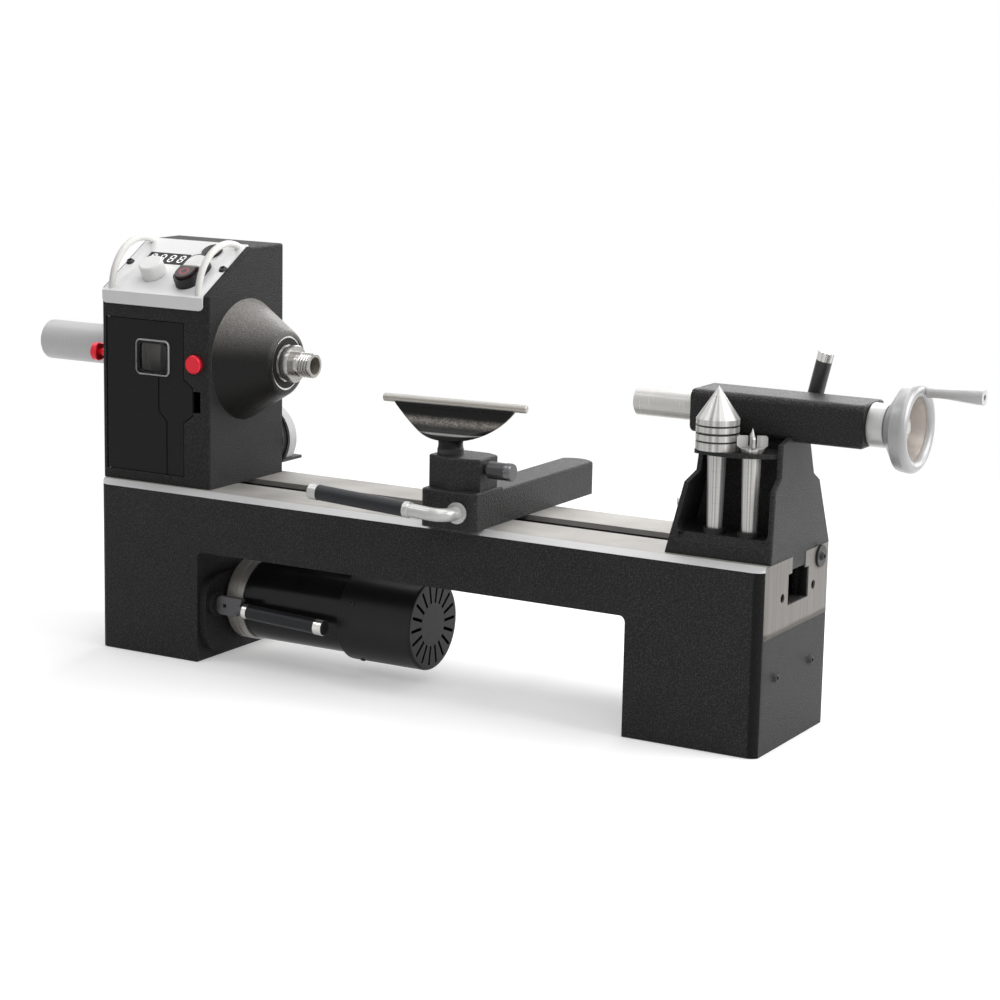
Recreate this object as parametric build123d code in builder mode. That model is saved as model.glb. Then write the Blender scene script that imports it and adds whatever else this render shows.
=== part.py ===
"""Benchtop wood lathe: cast bed, belt-driven headstock, banjo with tool rest, tailstock, tilting motor.

Sizes are millimetres. +X runs along the bed from the headstock to the tailstock, +Y to the back
and +Z up. The origin lies on the floor, under the middle of the bed and below the spindle line.
"""
import os
from math import atan, atan2, cos, degrees, hypot, radians, sin, tan

from build123d import *

os.makedirs("parts", exist_ok=True)

# Fits and gaps
running_fit = 0.05
press_gap = 0.02
face_gap = 0.3
door_gap = 0.8

# Bed casting
bed_length = 750.0
bed_width = 156.0
bed_height = 177.0
beam_depth = 62.0
bed_wall = 9.0
bed_end_wall = 16.0
bed_corner = 12.0
gap_under_headstock = 20.0
arch_corner = 6.0
left_leg = 125.0
right_leg = 138.0
way_thickness = 15.0
way_gap = 30.0
way_bevel_y = 9.5
way_bevel_z = 5.0
end_slot_width = 46.0
end_slot_height = 29.0
end_pad_height = 66.0
end_pad_step = 1.8
end_pad_bevel = 3.0
end_hole_spacing = 70.0
end_hole_drop = 35.0
end_hole_radius = 4.25
rib_thickness = 10.0
rib_height = 14.0
rib_spacing = 160.0
rib_count = 3
foot_boss_radius = 17.0
foot_boss_height = 28.0
foot_hole_radius = 4.0
foot_hole_depth = 22.0

# Button-head screws and the tailstock stop at the right end
screw_radius = 2.5
screw_length = 9.0
screw_head_radius = 4.6
screw_head_height = 2.6
screw_socket_radius = 2.2
screw_socket_depth = 1.5
end_screw_spacing = 80.0
end_screw_z = 68.5
stop_y = 48.0
stop_drop = 10.0
stop_washer_radius = 10.5
stop_washer_thickness = 2.5

# Spindle line and its pulleys
swing = 127.0
nose_reach = 83.5
nose_radius = 12.7
nose_length = 22.0
nose_flange_radius = 19.0
nose_flange_length = 6.0
nose_collar_radius = 17.5
nose_chamfer = 0.8
nose_end_chamfer = 1.0
spindle_bore_radius = 5.0
taper_radius = 8.9
taper_length = 64.0
taper_slope = 0.02497
front_journal_radius = 15.0
rear_journal_radius = 12.5
pulley_seat_radius = 14.0
wheel_seat_radius = 11.0
wheel_seat_length = 22.0
front_bearing_radius = 27.5
front_bearing_width = 13.0
rear_bearing_radius = 23.5
rear_bearing_width = 12.0
lock_collar_radius = 22.0
lock_collar_length = 18.0
pulley_step = 18.0
pulley_rim = 1.5
pulley_rim_height = 2.5
spindle_step_radii = (52.0, 40.0, 28.0)
motor_step_radii = (19.0, 31.0, 43.0)
index_radius = 48.0
index_holes = 24
index_hole_depth = 7.0
belt_thickness = 4.0
belt_width = 13.0
handwheel_radius = 20.7
handwheel_length = 117.5
handwheel_gap = 2.0
handwheel_chamfer = 1.5

# Headstock casting
hs_length = 135.0
hs_overhang = 3.5
hs_wall = 8.0
hs_front_height = 193.4
hs_height = 240.6
hs_slope_run = 78.35
hs_edge = 2.5
pulley_room = 5.0
bearing_boss_radius = 31.0
bearing_lip = 3.0
housing_base_radius = 62.0
housing_nose_radius = 32.0
housing_nose_round = 7.0
housing_length = 50.5
housing_spigot_radius = 40.0
housing_bore_radius = 24.0

# Belt door in the headstock front
door_margin = 5.5
door_right_margin = 32.5
door_bottom = 11.0
door_height = 156.0
door_thickness = 4.0
door_step = 11.5
door_step_top = 99.0
door_step_height = 43.6
door_step_slant = 8.0
finger_recess_width = 9.0
finger_recess_height = 22.0
door_groove_width = 2.2
door_groove_depth = 0.8
door_groove_inset = 30.5
door_groove_jog = 10.0
hinge_pin_radius = 1.25
hinge_pin_length = 10.0
window_width = 43.0
window_height = 37.0
window_corner = 6.0
window_frame = 4.5
window_proud = 1.6
window_from_left = 59.0
window_from_bottom = 118.6

# Red spindle lock button and index knob
lock_x_inset = 17.7
lock_head_radius = 9.5
lock_head_length = 10.0
lock_head_proud = 5.0
lock_pin_radius = 4.0
lock_travel = 6.0
lock_tip_gap = 1.5
lock_boss_radius = 12.5
lock_boss_length = 14.0
knob_head_radius = 9.5
knob_head_length = 8.0
knob_standoff = 15.5
knob_pin_radius = 4.0
knob_tip_radius = 2.5
knob_tip_gap = 1.2
knob_travel = 6.0
knob_tip_slant = 2.0
knob_boss_radius = 8.0

# Control panel on the slanted face, placed by distance across and up the slope
panel_margin = 1.8
panel_right_margin = 7.5
panel_thickness = 2.0
panel_sink = 0.5
panel_lip = 11.9
panel_lip_corner = 5.0
panel_screw_inset = 4.2
panel_screw_s = 47.5
handle_inset = 8.65
handle_s = 46.0
handle_span = 81.0
handle_rise = 21.7
handle_rod_radius = 3.5
display_x = -18.2
display_s = 58.0
display_width = 51.0
display_height = 17.7
display_proud = 0.4
speed_x = -16.7
speed_s = 31.0
speed_radius = 13.0
speed_height = 15.0
speed_taper = 2.0
speed_edge = 1.2
speed_shaft_radius = 3.0
speed_shaft_length = 9.0
switch_x = 30.3
switch_s = 34.0
switch_width = 27.0
switch_length = 48.0
switch_height = 10.0
switch_wall = 2.6
switch_web = 2.2
switch_floor = 3.0
switch_barrel_radius = 11.0
switch_barrel_length = 9.0
button_gap = 0.35
button_travel = 2.5
start_proud = 1.2
stop_proud = 3.4
selector_x = 28.9
selector_s = 74.0
selector_radius = 11.0
selector_height = 2.6
selector_barrel_radius = 10.3
selector_barrel_length = 9.5
rocker_radius = 7.6
rocker_width = 9.6
rocker_tilt = 8.0
rocker_flat = 5.2

# Round piece on a shelf behind the headstock, and the mains inlet gland
shelf_width = 62.0
shelf_depth = 35.0
shelf_thickness = 3.0
shelf_flange = 16.0
shelf_rise = 10.0
ring_radius = 37.0
ring_wall = 2.5
ring_width = 12.0
ring_inset_x = 33.5
ring_centre_rise = 33.0
drum_radius = 33.0
drum_length = 20.0
gland_radius = 9.0
gland_length = 14.0
gland_bore_radius = 4.0
gland_x_inset = 100.0
gland_rise = 30.0

# Motor on its swinging plate
motor_drop = 59.0
motor_plate_gap = 0.5
motor_plate_thickness = 8.0
motor_plate_width = 150.0
motor_plate_height = 80.0
motor_plate_corner = 25.0
motor_plate_sink = 8.0
motor_pivot_inset = 16.0
motor_pivot_radius = 5.0
motor_pivot_head_radius = 9.0
motor_pivot_head_length = 6.0
end_bell_radius = 43.0
end_bell_length = 22.5
motor_radius = 41.5
motor_length = 130.0
fan_cover_radius = 46.5
fan_cover_length = 84.5
fan_cover_wall = 2.5
fan_cover_round = 3.0
fan_cover_overlap = 12.0
fan_slots = 18
fan_slot_inner = 22.0
fan_slot_outer = 41.0
fan_slot_width = 3.2
rotor_radius = 7.0
rotor_opening = 16.0
motor_lift = 6.0
fan_radius = 36.0
fan_clearance = 12.0
fan_hub_radius = 12.0
fan_width = 14.0
fan_blades = 8
fan_blade_thickness = 2.0
tension_y = -60.0
tension_plate = 6.0
tension_plate_length = 37.0
tension_plate_height = 19.0
tension_plate_z = 3.0
tension_square = 4.0
tension_square_inset = 10.0
tension_slant = 8.0
tension_corner = 6.0
tension_boss_radius = 12.0
tension_boss_length = 5.0

# Lever grips shared by the cam, tension and lock levers
grip_radius = 7.5
grip_length = 98.0
grip_rod_radius = 5.0
ferrule_length = 6.0
ferrule_radius = 7.7
cap_length = 10.0
cap_radius = 7.9
tension_slope = 2.6

# Banjo and tool rest
banjo_x = 63.5
arm_width = 36.0
arm_height = 34.0
arm_back = 155.0
arm_end_bulge = 8.0
arm_wall = 7.0
arm_roof = 5.5
arm_edge = 3.0
base_left = 21.0
base_front = -91.0
base_depth = 54.0
base_height = 36.5
base_corner = 8.0
base_edge = 2.0
collar_rise = 67.5
collar_front = -90.0
collar_side_front = -77.0
collar_back = -38.0
collar_back_cut = 12.0
collar_inset = 2.0
channel_front = -45.0
channel_back = 138.0
post_x = 39.5
post_y = -65.0
post_radius = 12.7
post_bottom = 12.0
post_top = 73.0
post_floor = 6.0
post_spigot_radius = 9.0
post_spigot_length = 11.0
cam_rise = 17.0
cam_radius = 6.0
cam_core_radius = 4.7
cam_throw = 1.0
cam_flange_radius = 10.3
cam_flange_thickness = 2.5
cam_tail = 6.0
elbow_radius = 16.0
elbow_stub = 4.0
lever_radius = 6.5
lever_straight = 22.0
lever_slope = 3.0
eye_radius = 10.0
eye_length = 14.0
eye_bore_gap = 0.4
stud_radius = 5.0
clamp_width = 44.0
clamp_length = 52.0
clamp_thickness = 12.0
clamp_gap = 0.5
nut_radius = 8.5
nut_height = 8.0
rest_turn = 5.7
rod_radius = 4.0
rod_length = 150.0
rod_back = 8.0
rod_rise = 115.4
blade_thickness = 6.0
blade_top_half = 63.0
blade_side_half = 40.0
blade_side_rise = 95.5
blade_bottom_half = 13.0
blade_bottom_rise = 86.5
blade_lip_front = -15.0
blade_corner = 3.0
neck_radius = 13.2
post_lock_rise = 56.5
post_lock_radius = 5.0
post_lock_neck = 2.0
post_lock_grip_radius = 8.3
post_lock_grip = 18.0
post_lock_end_radius = 8.6
post_lock_end = 7.0
end_flutes = 12
end_flute_radius = 0.9

# Tailstock
ts_end_gap = 0.5
ts_base_length = 106.0
ts_shoulder_inset = 16.0
ts_waist_inset = 22.0
ts_top_inset = 25.0
ts_base_half = 63.5
ts_shoulder_half = 60.0
ts_waist_half = 48.0
ts_top_half = 47.0
ts_gusset_rise = 5.0
ts_back_base = 70.0
ts_back_mid = 41.0
ts_back_mid_z = 63.5
ts_back_waist = 27.0
ts_back_waist_z = 71.5
ts_back_top = 14.0
ts_shoulder_z = 67.0
ts_waist_z = 77.0
ts_wall = 4.5
ts_edge = 3.0
ts_tongue_depth = 12.0
ts_tongue_gap = 0.3
ts_cavity_wall = 9.0
ts_cavity_front = -14.0
barrel_overhang = 66.5
tongue_window = 20.0
barrel_half = 27.0
barrel_length = 170.0
barrel_half_height = 20.0
barrel_round = 7.0
barrel_edge = 3.0
barrel_screw_inset = 13.0
barrel_screw_depth = 5.0
pocket_floor = 21.0
pocket_apron = 4.5
apron_foot = 11.5
pocket_back = -20.0
pocket_corner = 6.0
pocket_edge = 1.2
shelf_z = 98.5
shelf_plate = 4.0
shelf_front = -60.0
shelf_right_front = -43.0
centre_y = -49.0
live_x = 63.5
spur_x = 29.0
cup_radius = 10.5
cup_height = 5.0
cup_bore_radius = 7.8
cup_floor = 9.0
live_radius = 20.0
live_housing_height = 16.0
live_gap = 0.4
live_rim_height = 11.9
live_cone_height = 29.5
live_axle_radius = 6.0
live_axle_length = 10.0
live_groove = 1.7
live_groove_depth = 1.2
spur_root_radius = 9.6
spur_neck_radius = 11.6
spur_neck_height = 4.5
spur_wing_radius = 14.0
spur_wing_thickness = 2.6
spur_wing_height = 11.0
spur_tip_radius = 2.6
spur_tip_height = 7.0
spur_wings = 4
spur_turn = 30.0
spur_wing_slant = 2.0
spur_wing_edge = 1.5
quill_radius = 13.7
quill_reach = 65.0
quill_length = 165.0
quill_nut_length = 22.0
quill_hollow_radius = 7.5
quill_edge = 1.0
barrel_end_wall = 11.0
screw_shaft_radius = 6.0
screw_back = 125.0
screw_seat_radius = 5.5
screw_nose = 17.0
cap_ring_radius = 20.0
cap_ring_length = 16.0
wheel_radius = 40.3
wheel_rim_radius = 6.0
wheel_depth = 28.5
wheel_hub_radius = 19.0
wheel_web = 5.0
wheel_boss_radius = 11.0
wheel_boss_height = 6.0
crank_circle = 34.2
crank_angle = 20.0
crank_length = 53.0
crank_root_radius = 5.2
crank_waist_radius = 4.6
crank_end_radius = 7.2
crank_spigot_radius = 3.0
crank_spigot_length = 9.0
crank_hole_radius = 2.6
crank_hole_depth = 4.0
lock_lever_x = 76.0
lock_lever_y = 36.0
lock_hub_radius = 8.0
lock_stud_radius = 4.0
lock_stud_gap = 0.6
lock_lever_lean = 13.0
lock_rod_radius = 4.0
lock_grip_start = 16.0
lock_grip_length = 33.0
lock_end_length = 9.0
tail_cam_x = 55.0
tail_cam_front = -8.0
tail_elbow_radius = 14.0
tail_grip_length = 58.0

# Places that follow from the driving sizes
bed_left = -bed_length / 2
bed_right = bed_length / 2
bed_front = -bed_width / 2
beam_bottom = bed_height - beam_depth
way_bottom = bed_height - way_thickness
bed_inner = bed_width - 2 * bed_wall
left_leg_inside = bed_left + left_leg
right_leg_inside = bed_right - right_leg
spindle_z = bed_height + swing
hs_left = bed_left - hs_overhang
hs_right = hs_left + hs_length
hs_half = spindle_step_radii[0] + pulley_room + hs_wall
panel_width = hs_length - panel_margin - panel_right_margin
hs_front = -hs_half
hs_back = hs_half
hs_front_top = bed_height + hs_front_height
hs_top = bed_height + hs_height
knee_y = hs_front + hs_slope_run
slope = atan2(hs_top - hs_front_top, hs_slope_run)
slope_length = hypot(hs_top - hs_front_top, hs_slope_run)
motor_z = beam_bottom - motor_drop
motor_pivot_y = bed_width / 2 - motor_pivot_inset
spindle_line = Plane((0, 0, spindle_z), x_dir=(1, 0, 0), z_dir=(0, -1, 0))
spindle_axis = Axis((0, 0, spindle_z), (1, 0, 0))
motor_line = Plane((0, 0, motor_z), x_dir=(1, 0, 0), z_dir=(0, -1, 0))
motor_axis = Axis((0, 0, motor_z), (1, 0, 0))

# Stations along the spindle
nose_end = hs_right + nose_reach
nose_face = nose_end - nose_length
housing_end = hs_right + housing_length
front_bearing_right = housing_end - 1.0
front_bearing_left = front_bearing_right - front_bearing_width
rear_bearing_left = hs_left + bearing_lip
rear_bearing_right = rear_bearing_left + rear_bearing_width
lock_x = hs_right - lock_x_inset
pulley_left = rear_bearing_right + 5.5
pulley_length = pulley_step * len(spindle_step_radii)
pulley_right = pulley_left + pulley_length
wheel_right = hs_left - handwheel_gap
wheel_left = wheel_right - handwheel_length
spindle_left = wheel_right - wheel_seat_length

# Panel frame: x across, y up the slope, z off the face
panel_left = hs_left + panel_margin
panel_x = panel_left + panel_width / 2
panel_normal = (0, -sin(slope), cos(slope))
panel = Plane((panel_x, hs_front, hs_front_top), x_dir=(1, 0, 0), z_dir=panel_normal)
panel_top = panel.offset(panel_thickness)


def stepped_pulley(radii, shaft_radius, plane, axis):
    """Pulley of three belt steps with a low rim at both ends of each step, on a plain bore."""
    with BuildPart() as pulley:
        with BuildSketch(plane):
            for number, radius in enumerate(radii):
                left = pulley_left + number * pulley_step
                with Locations((left + pulley_step / 2, radius / 2)):
                    Rectangle(pulley_step, radius)
                rim = radius + pulley_rim_height
                rims = [left + pulley_rim / 2, left + pulley_step - pulley_rim / 2]
                with Locations(*[(place, rim / 2) for place in rims]):
                    Rectangle(pulley_rim, rim)
            bore = shaft_radius + press_gap
            with Locations((pulley_left + pulley_length / 2, bore / 2)):
                Rectangle(pulley_length, bore, mode=Mode.SUBTRACT)
        revolve(axis=axis)
    return pulley


def taper_at(depth):
    """Radius of the self-holding taper at a depth behind its mouth."""
    return taper_radius - taper_slope * depth


# Bed: an arched casting, hollow underneath, with two ways and a gap between them
channel_left = bed_left + bed_wall
channel_right = bed_right - bed_end_wall
gap_left = hs_right - gap_under_headstock
belt_hole_half = spindle_step_radii[0] - 6.0
foot_x = bed_length / 2 - bed_end_wall - bed_wall
foot_y = bed_width / 2 - 2 * bed_wall
end_hole_z = bed_height - end_hole_drop
pad_low = bed_height - end_pad_height

with BuildPart() as bed:
    with BuildSketch(Plane.XZ):
        with Locations((0, bed_height / 2)):
            Rectangle(bed_length, bed_height)
        with Locations(((left_leg_inside + right_leg_inside) / 2, beam_bottom / 2)):
            Rectangle(right_leg_inside - left_leg_inside, beam_bottom, mode=Mode.SUBTRACT)
        fillet(vertices().group_by(Axis.Y)[1], arch_corner)
    extrude(amount=bed_width / 2, both=True)
    upright = bed.edges().filter_by(Axis.Z).group_by(Axis.X)
    fillet(upright[0] + upright[-1], bed_corner)
    with BuildSketch(Plane.YZ.offset(bed_left)):
        Polygon(
            (bed_front, bed_height),
            (bed_front + way_bevel_y, bed_height),
            (bed_front, bed_height - way_bevel_z),
            align=None,
        )
        mirror(about=Plane.YZ)
    extrude(amount=bed_length, mode=Mode.SUBTRACT)
    with BuildSketch(Plane.XY.offset(beam_bottom)):
        with Locations(((channel_left + channel_right) / 2, 0)):
            Rectangle(channel_right - channel_left, bed_inner)
    extrude(amount=way_bottom - beam_bottom, mode=Mode.SUBTRACT)
    with BuildSketch(Plane.XY):
        with Locations((channel_left + left_leg / 2 - bed_wall, 0)):
            Rectangle(left_leg - 2 * bed_wall, bed_inner)
        with Locations((channel_right - (right_leg - bed_wall - bed_end_wall) / 2, 0)):
            Rectangle(right_leg - bed_wall - bed_end_wall, bed_inner)
    extrude(amount=beam_bottom, mode=Mode.SUBTRACT)
    with BuildSketch(Plane.XY.offset(beam_bottom)):
        with GridLocations(rib_spacing, 0, rib_count, 1):
            Rectangle(rib_thickness, bed_inner)
    extrude(amount=rib_height)
    with BuildSketch(Plane.XY.offset(way_bottom)):
        with Locations(((gap_left + bed_right) / 2, 0)):
            Rectangle(bed_right - gap_left, way_gap)
        with Locations(((pulley_left + pulley_right) / 2, 0)):
            Rectangle(pulley_length + 2 * pulley_room, 2 * belt_hole_half)
    extrude(amount=way_thickness, mode=Mode.SUBTRACT)
    with BuildSketch(Plane.YZ.offset(channel_right)):
        with Locations((0, way_bottom - end_slot_height / 2)):
            Rectangle(end_slot_width, end_slot_height)
        with Locations((0, end_hole_z)):
            with GridLocations(end_hole_spacing, 0, 2, 1):
                Circle(end_hole_radius)
        with Locations((0, end_screw_z)):
            with GridLocations(end_screw_spacing, 0, 2, 1):
                Circle(screw_radius + press_gap)
        with Locations((stop_y, bed_height - stop_drop)):
            Circle(screw_radius + press_gap)
    extrude(amount=bed_end_wall, mode=Mode.SUBTRACT)
    with BuildSketch(Plane.XZ):
        Polygon(
            (bed_right, 0),
            (bed_right, pad_low),
            (bed_right - end_pad_step, pad_low - end_pad_bevel),
            (bed_right - end_pad_step, 0),
            align=None,
        )
    extrude(amount=bed_width / 2, both=True, mode=Mode.SUBTRACT)
    with BuildSketch(Plane.YZ.offset(left_leg_inside - bed_wall)):
        with Locations((0, motor_z)):
            Circle(rotor_opening)
        with Locations((motor_pivot_y, motor_z)):
            Circle(motor_pivot_radius + press_gap)
    extrude(amount=bed_wall, mode=Mode.SUBTRACT)
    with BuildSketch(Plane.XY):
        with GridLocations(2 * foot_x, 2 * foot_y, 2, 2):
            Circle(foot_boss_radius)
    extrude(amount=foot_boss_height)
    with BuildSketch(Plane.XY):
        with GridLocations(2 * foot_x, 2 * foot_y, 2, 2):
            Circle(foot_hole_radius)
    extrude(amount=foot_hole_depth, mode=Mode.SUBTRACT)
bed.part.label = "bed"
export_step(bed.part, "parts/bed.step")

# Stop washer that keeps the tailstock on the bed
stop_z = bed_height - stop_drop
with BuildPart() as stop_washer:
    with BuildSketch(Plane.YZ.offset(bed_right)):
        with Locations((stop_y, stop_z)):
            Circle(stop_washer_radius)
            Circle(screw_radius + press_gap, mode=Mode.SUBTRACT)
    extrude(amount=stop_washer_thickness)
stop_washer.part.label = "stop_washer"
export_step(stop_washer.part, "parts/stop_washer.step")

# Button-head screws: two on the bed end, one through the stop washer, two in the panel
screw_seats = [
    Plane((bed_right - end_pad_step, side * end_screw_spacing / 2, end_screw_z), (0, 1, 0), (1, 0, 0))
    for side in (-1, 1)
]
screw_seats.append(Plane((bed_right + stop_washer_thickness, stop_y, stop_z), (0, 1, 0), (1, 0, 0)))
for side in (-1, 1):
    place = (side * (panel_width / 2 - panel_screw_inset), panel_screw_s, panel_thickness)
    screw_seats.append(Plane(panel.from_local_coords(place), (1, 0, 0), panel_normal))
with BuildPart() as button_screws:
    for seat in screw_seats:
        with BuildSketch(seat):
            Circle(screw_head_radius)
        extrude(amount=screw_head_height, taper=30)
        with BuildSketch(seat.offset(screw_head_height)):
            RegularPolygon(screw_socket_radius, 6)
        extrude(amount=-screw_socket_depth, mode=Mode.SUBTRACT)
        with BuildSketch(seat):
            Circle(screw_radius)
        extrude(amount=-screw_length)
button_screws.part.label = "button_screws"
export_step(button_screws.part, "parts/button_screws.step")

# Headstock: hollow box with a slanted top front, open below and behind the belt door.
# Its two cheeks stand a little higher than the panel that is let in between them.
cheek = panel_thickness + panel_sink
headstock_outer = (
    (hs_front, bed_height),
    (hs_front, hs_front_top + cheek / cos(slope)),
    (knee_y - cheek / sin(slope), hs_top),
    (hs_back, hs_top),
    (hs_back, bed_height),
)
headstock_side = (
    (hs_front, bed_height),
    (hs_front, hs_front_top),
    (knee_y, hs_top),
    (hs_back, hs_top),
    (hs_back, bed_height),
)
door_left = hs_left + door_margin
door_right = hs_right - door_right_margin
door_low = bed_height + door_bottom
door_top = door_low + door_height
step_top = door_low + door_step_top
step_low = step_top - door_step_height
hinge_x = door_left + door_thickness / 2
hinge_y = hs_front + door_thickness / 2
recess_low = (step_top + step_low) / 2 - finger_recess_height / 2


def door_outline(grow):
    """Door edge: a tall rectangle with a slanted tab at its free side, grown by a gap."""
    right = door_right + grow
    tab = right + door_step
    slant = door_step_slant
    return (
        (door_left - grow, door_low - grow),
        (right, door_low - grow),
        (right, step_low - grow),
        (tab, step_low + slant - grow),
        (tab, step_top - slant + grow),
        (right, step_top + grow),
        (right, door_top + grow),
        (door_left - grow, door_top + grow),
    )


with BuildPart() as headstock:
    with BuildSketch(Plane.YZ.offset(hs_left)):
        Polygon(*headstock_outer, align=None)
    extrude(amount=hs_length)
    fillet(headstock.edges().sort_by(Axis.Z)[4:], hs_edge)
    with BuildSketch(Plane.YZ.offset(panel_left - face_gap)):
        Polygon(
            (hs_front - hs_wall, hs_front_top - hs_wall * tan(slope)),
            (knee_y, hs_top),
            (knee_y, hs_top + hs_wall),
            (hs_front - hs_wall, hs_top + hs_wall),
            align=None,
        )
    extrude(amount=panel_width + 2 * face_gap, mode=Mode.SUBTRACT)
    with BuildSketch(Plane.YZ.offset(hs_left + hs_wall)):
        Polygon(*headstock_side, align=None)
        offset(amount=-hs_wall, mode=Mode.REPLACE)
        with Locations((0, bed_height + hs_wall)):
            Rectangle(2 * (hs_half - hs_wall), 2 * hs_wall)
    extrude(amount=hs_length - 2 * hs_wall, mode=Mode.SUBTRACT)
    with BuildSketch(Plane.YZ.offset(hs_left)):
        with Locations((0, spindle_z)):
            Circle(bearing_boss_radius)
    extrude(amount=bearing_lip + rear_bearing_width + 1.0)
    with BuildSketch(Plane.YZ.offset(hs_left)):
        with Locations((-index_radius, spindle_z)):
            Circle(knob_boss_radius)
    extrude(amount=bearing_lip + rear_bearing_width)
    with BuildSketch(Plane.XZ.offset(-hs_front)):
        with Locations((lock_x, spindle_z)):
            Circle(lock_boss_radius)
    extrude(amount=-(hs_wall + lock_boss_length))
    with BuildSketch(Plane.YZ.offset(rear_bearing_left)):
        with Locations((0, spindle_z)):
            Circle(rear_bearing_radius + press_gap)
    extrude(amount=rear_bearing_width + 1.0, mode=Mode.SUBTRACT)
    with BuildSketch(Plane.YZ.offset(hs_left)):
        with Locations((0, spindle_z)):
            Circle(rear_journal_radius + 3.0)
        with Locations((-index_radius, spindle_z)):
            Circle(knob_pin_radius + running_fit)
    extrude(amount=bearing_lip + rear_bearing_width, mode=Mode.SUBTRACT)
    with BuildSketch(Plane.YZ.offset(hs_right)):
        with Locations((0, spindle_z)):
            Circle(housing_spigot_radius + press_gap)
    extrude(amount=-hs_wall, mode=Mode.SUBTRACT)
    with BuildSketch(Plane.XZ.offset(-hs_front)):
        Polygon(*door_outline(door_gap), align=None)
    extrude(amount=-hs_wall, mode=Mode.SUBTRACT)
    with BuildSketch(Plane.XZ.offset(-hs_front)):
        with Locations((door_right + door_step + finger_recess_width / 2, recess_low + finger_recess_height / 2)):
            Rectangle(finger_recess_width + 2 * door_gap, finger_recess_height)
    extrude(amount=-hs_wall, mode=Mode.SUBTRACT)
    with BuildSketch(Plane.XY.offset(door_low - door_gap - hinge_pin_length / 2)):
        with Locations((hinge_x, hinge_y)):
            Circle(hinge_pin_radius + running_fit)
    extrude(amount=door_height + 2 * door_gap + hinge_pin_length, mode=Mode.SUBTRACT)
    lock_face = -hs_front
    lock_seat = lock_head_length - lock_head_proud + lock_travel + 1.0
    with BuildSketch(Plane.XZ.offset(lock_face)):
        with Locations((lock_x, spindle_z)):
            Circle(lock_head_radius + face_gap)
    extrude(amount=-lock_seat, mode=Mode.SUBTRACT)
    with BuildSketch(Plane.XZ.offset(lock_face)):
        with Locations((lock_x, spindle_z)):
            Circle(lock_pin_radius + running_fit)
    extrude(amount=-(hs_wall + lock_boss_length), mode=Mode.SUBTRACT)
    with BuildSketch(panel):
        with Locations((speed_x, speed_s)):
            Circle(speed_shaft_radius + running_fit)
        with Locations((switch_x, switch_s)):
            Circle(switch_barrel_radius + press_gap)
        with Locations((selector_x, selector_s)):
            Circle(selector_barrel_radius + press_gap)
        with Locations((0, panel_screw_s)):
            with GridLocations(panel_width - 2 * panel_screw_inset, 0, 2, 1):
                Circle(screw_radius + press_gap)
    extrude(amount=-2 * hs_wall, mode=Mode.SUBTRACT)
headstock.part.label = "headstock"
export_step(headstock.part, "parts/headstock.step")

# Nose housing: rounded cone that carries the front bearing
with BuildPart() as nose_housing:
    with BuildSketch(spindle_line):
        with BuildLine():
            Polyline(
                (hs_right - hs_wall, housing_bore_radius),
                (hs_right - hs_wall, housing_spigot_radius),
                (hs_right, housing_spigot_radius),
                (hs_right, housing_base_radius),
                (housing_end, housing_nose_radius),
                (housing_end, front_bearing_radius + press_gap),
                (front_bearing_left, front_bearing_radius + press_gap),
                (front_bearing_left, housing_bore_radius),
                close=True,
            )
        make_face()
        rim = vertices().sort_by_distance((housing_end, housing_nose_radius))[0]
        fillet(rim, housing_nose_round)
    revolve(axis=spindle_axis)
nose_housing.part.label = "nose_housing"
export_step(nose_housing.part, "parts/nose_housing.step")

# Spindle bearings, each a sealed ring
for name, left, width, outer, inner in (
    ("front_bearing", front_bearing_left, front_bearing_width, front_bearing_radius, front_journal_radius),
    ("rear_bearing", rear_bearing_left, rear_bearing_width, rear_bearing_radius, rear_journal_radius),
):
    with BuildPart() as bearing:
        with BuildSketch(Plane.YZ.offset(left)):
            with Locations((0, spindle_z)):
                Circle(outer)
                Circle(inner + running_fit, mode=Mode.SUBTRACT)
        extrude(amount=width)
    bearing.part.label = name
    export_step(bearing.part, f"parts/{name}.step")

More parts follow.
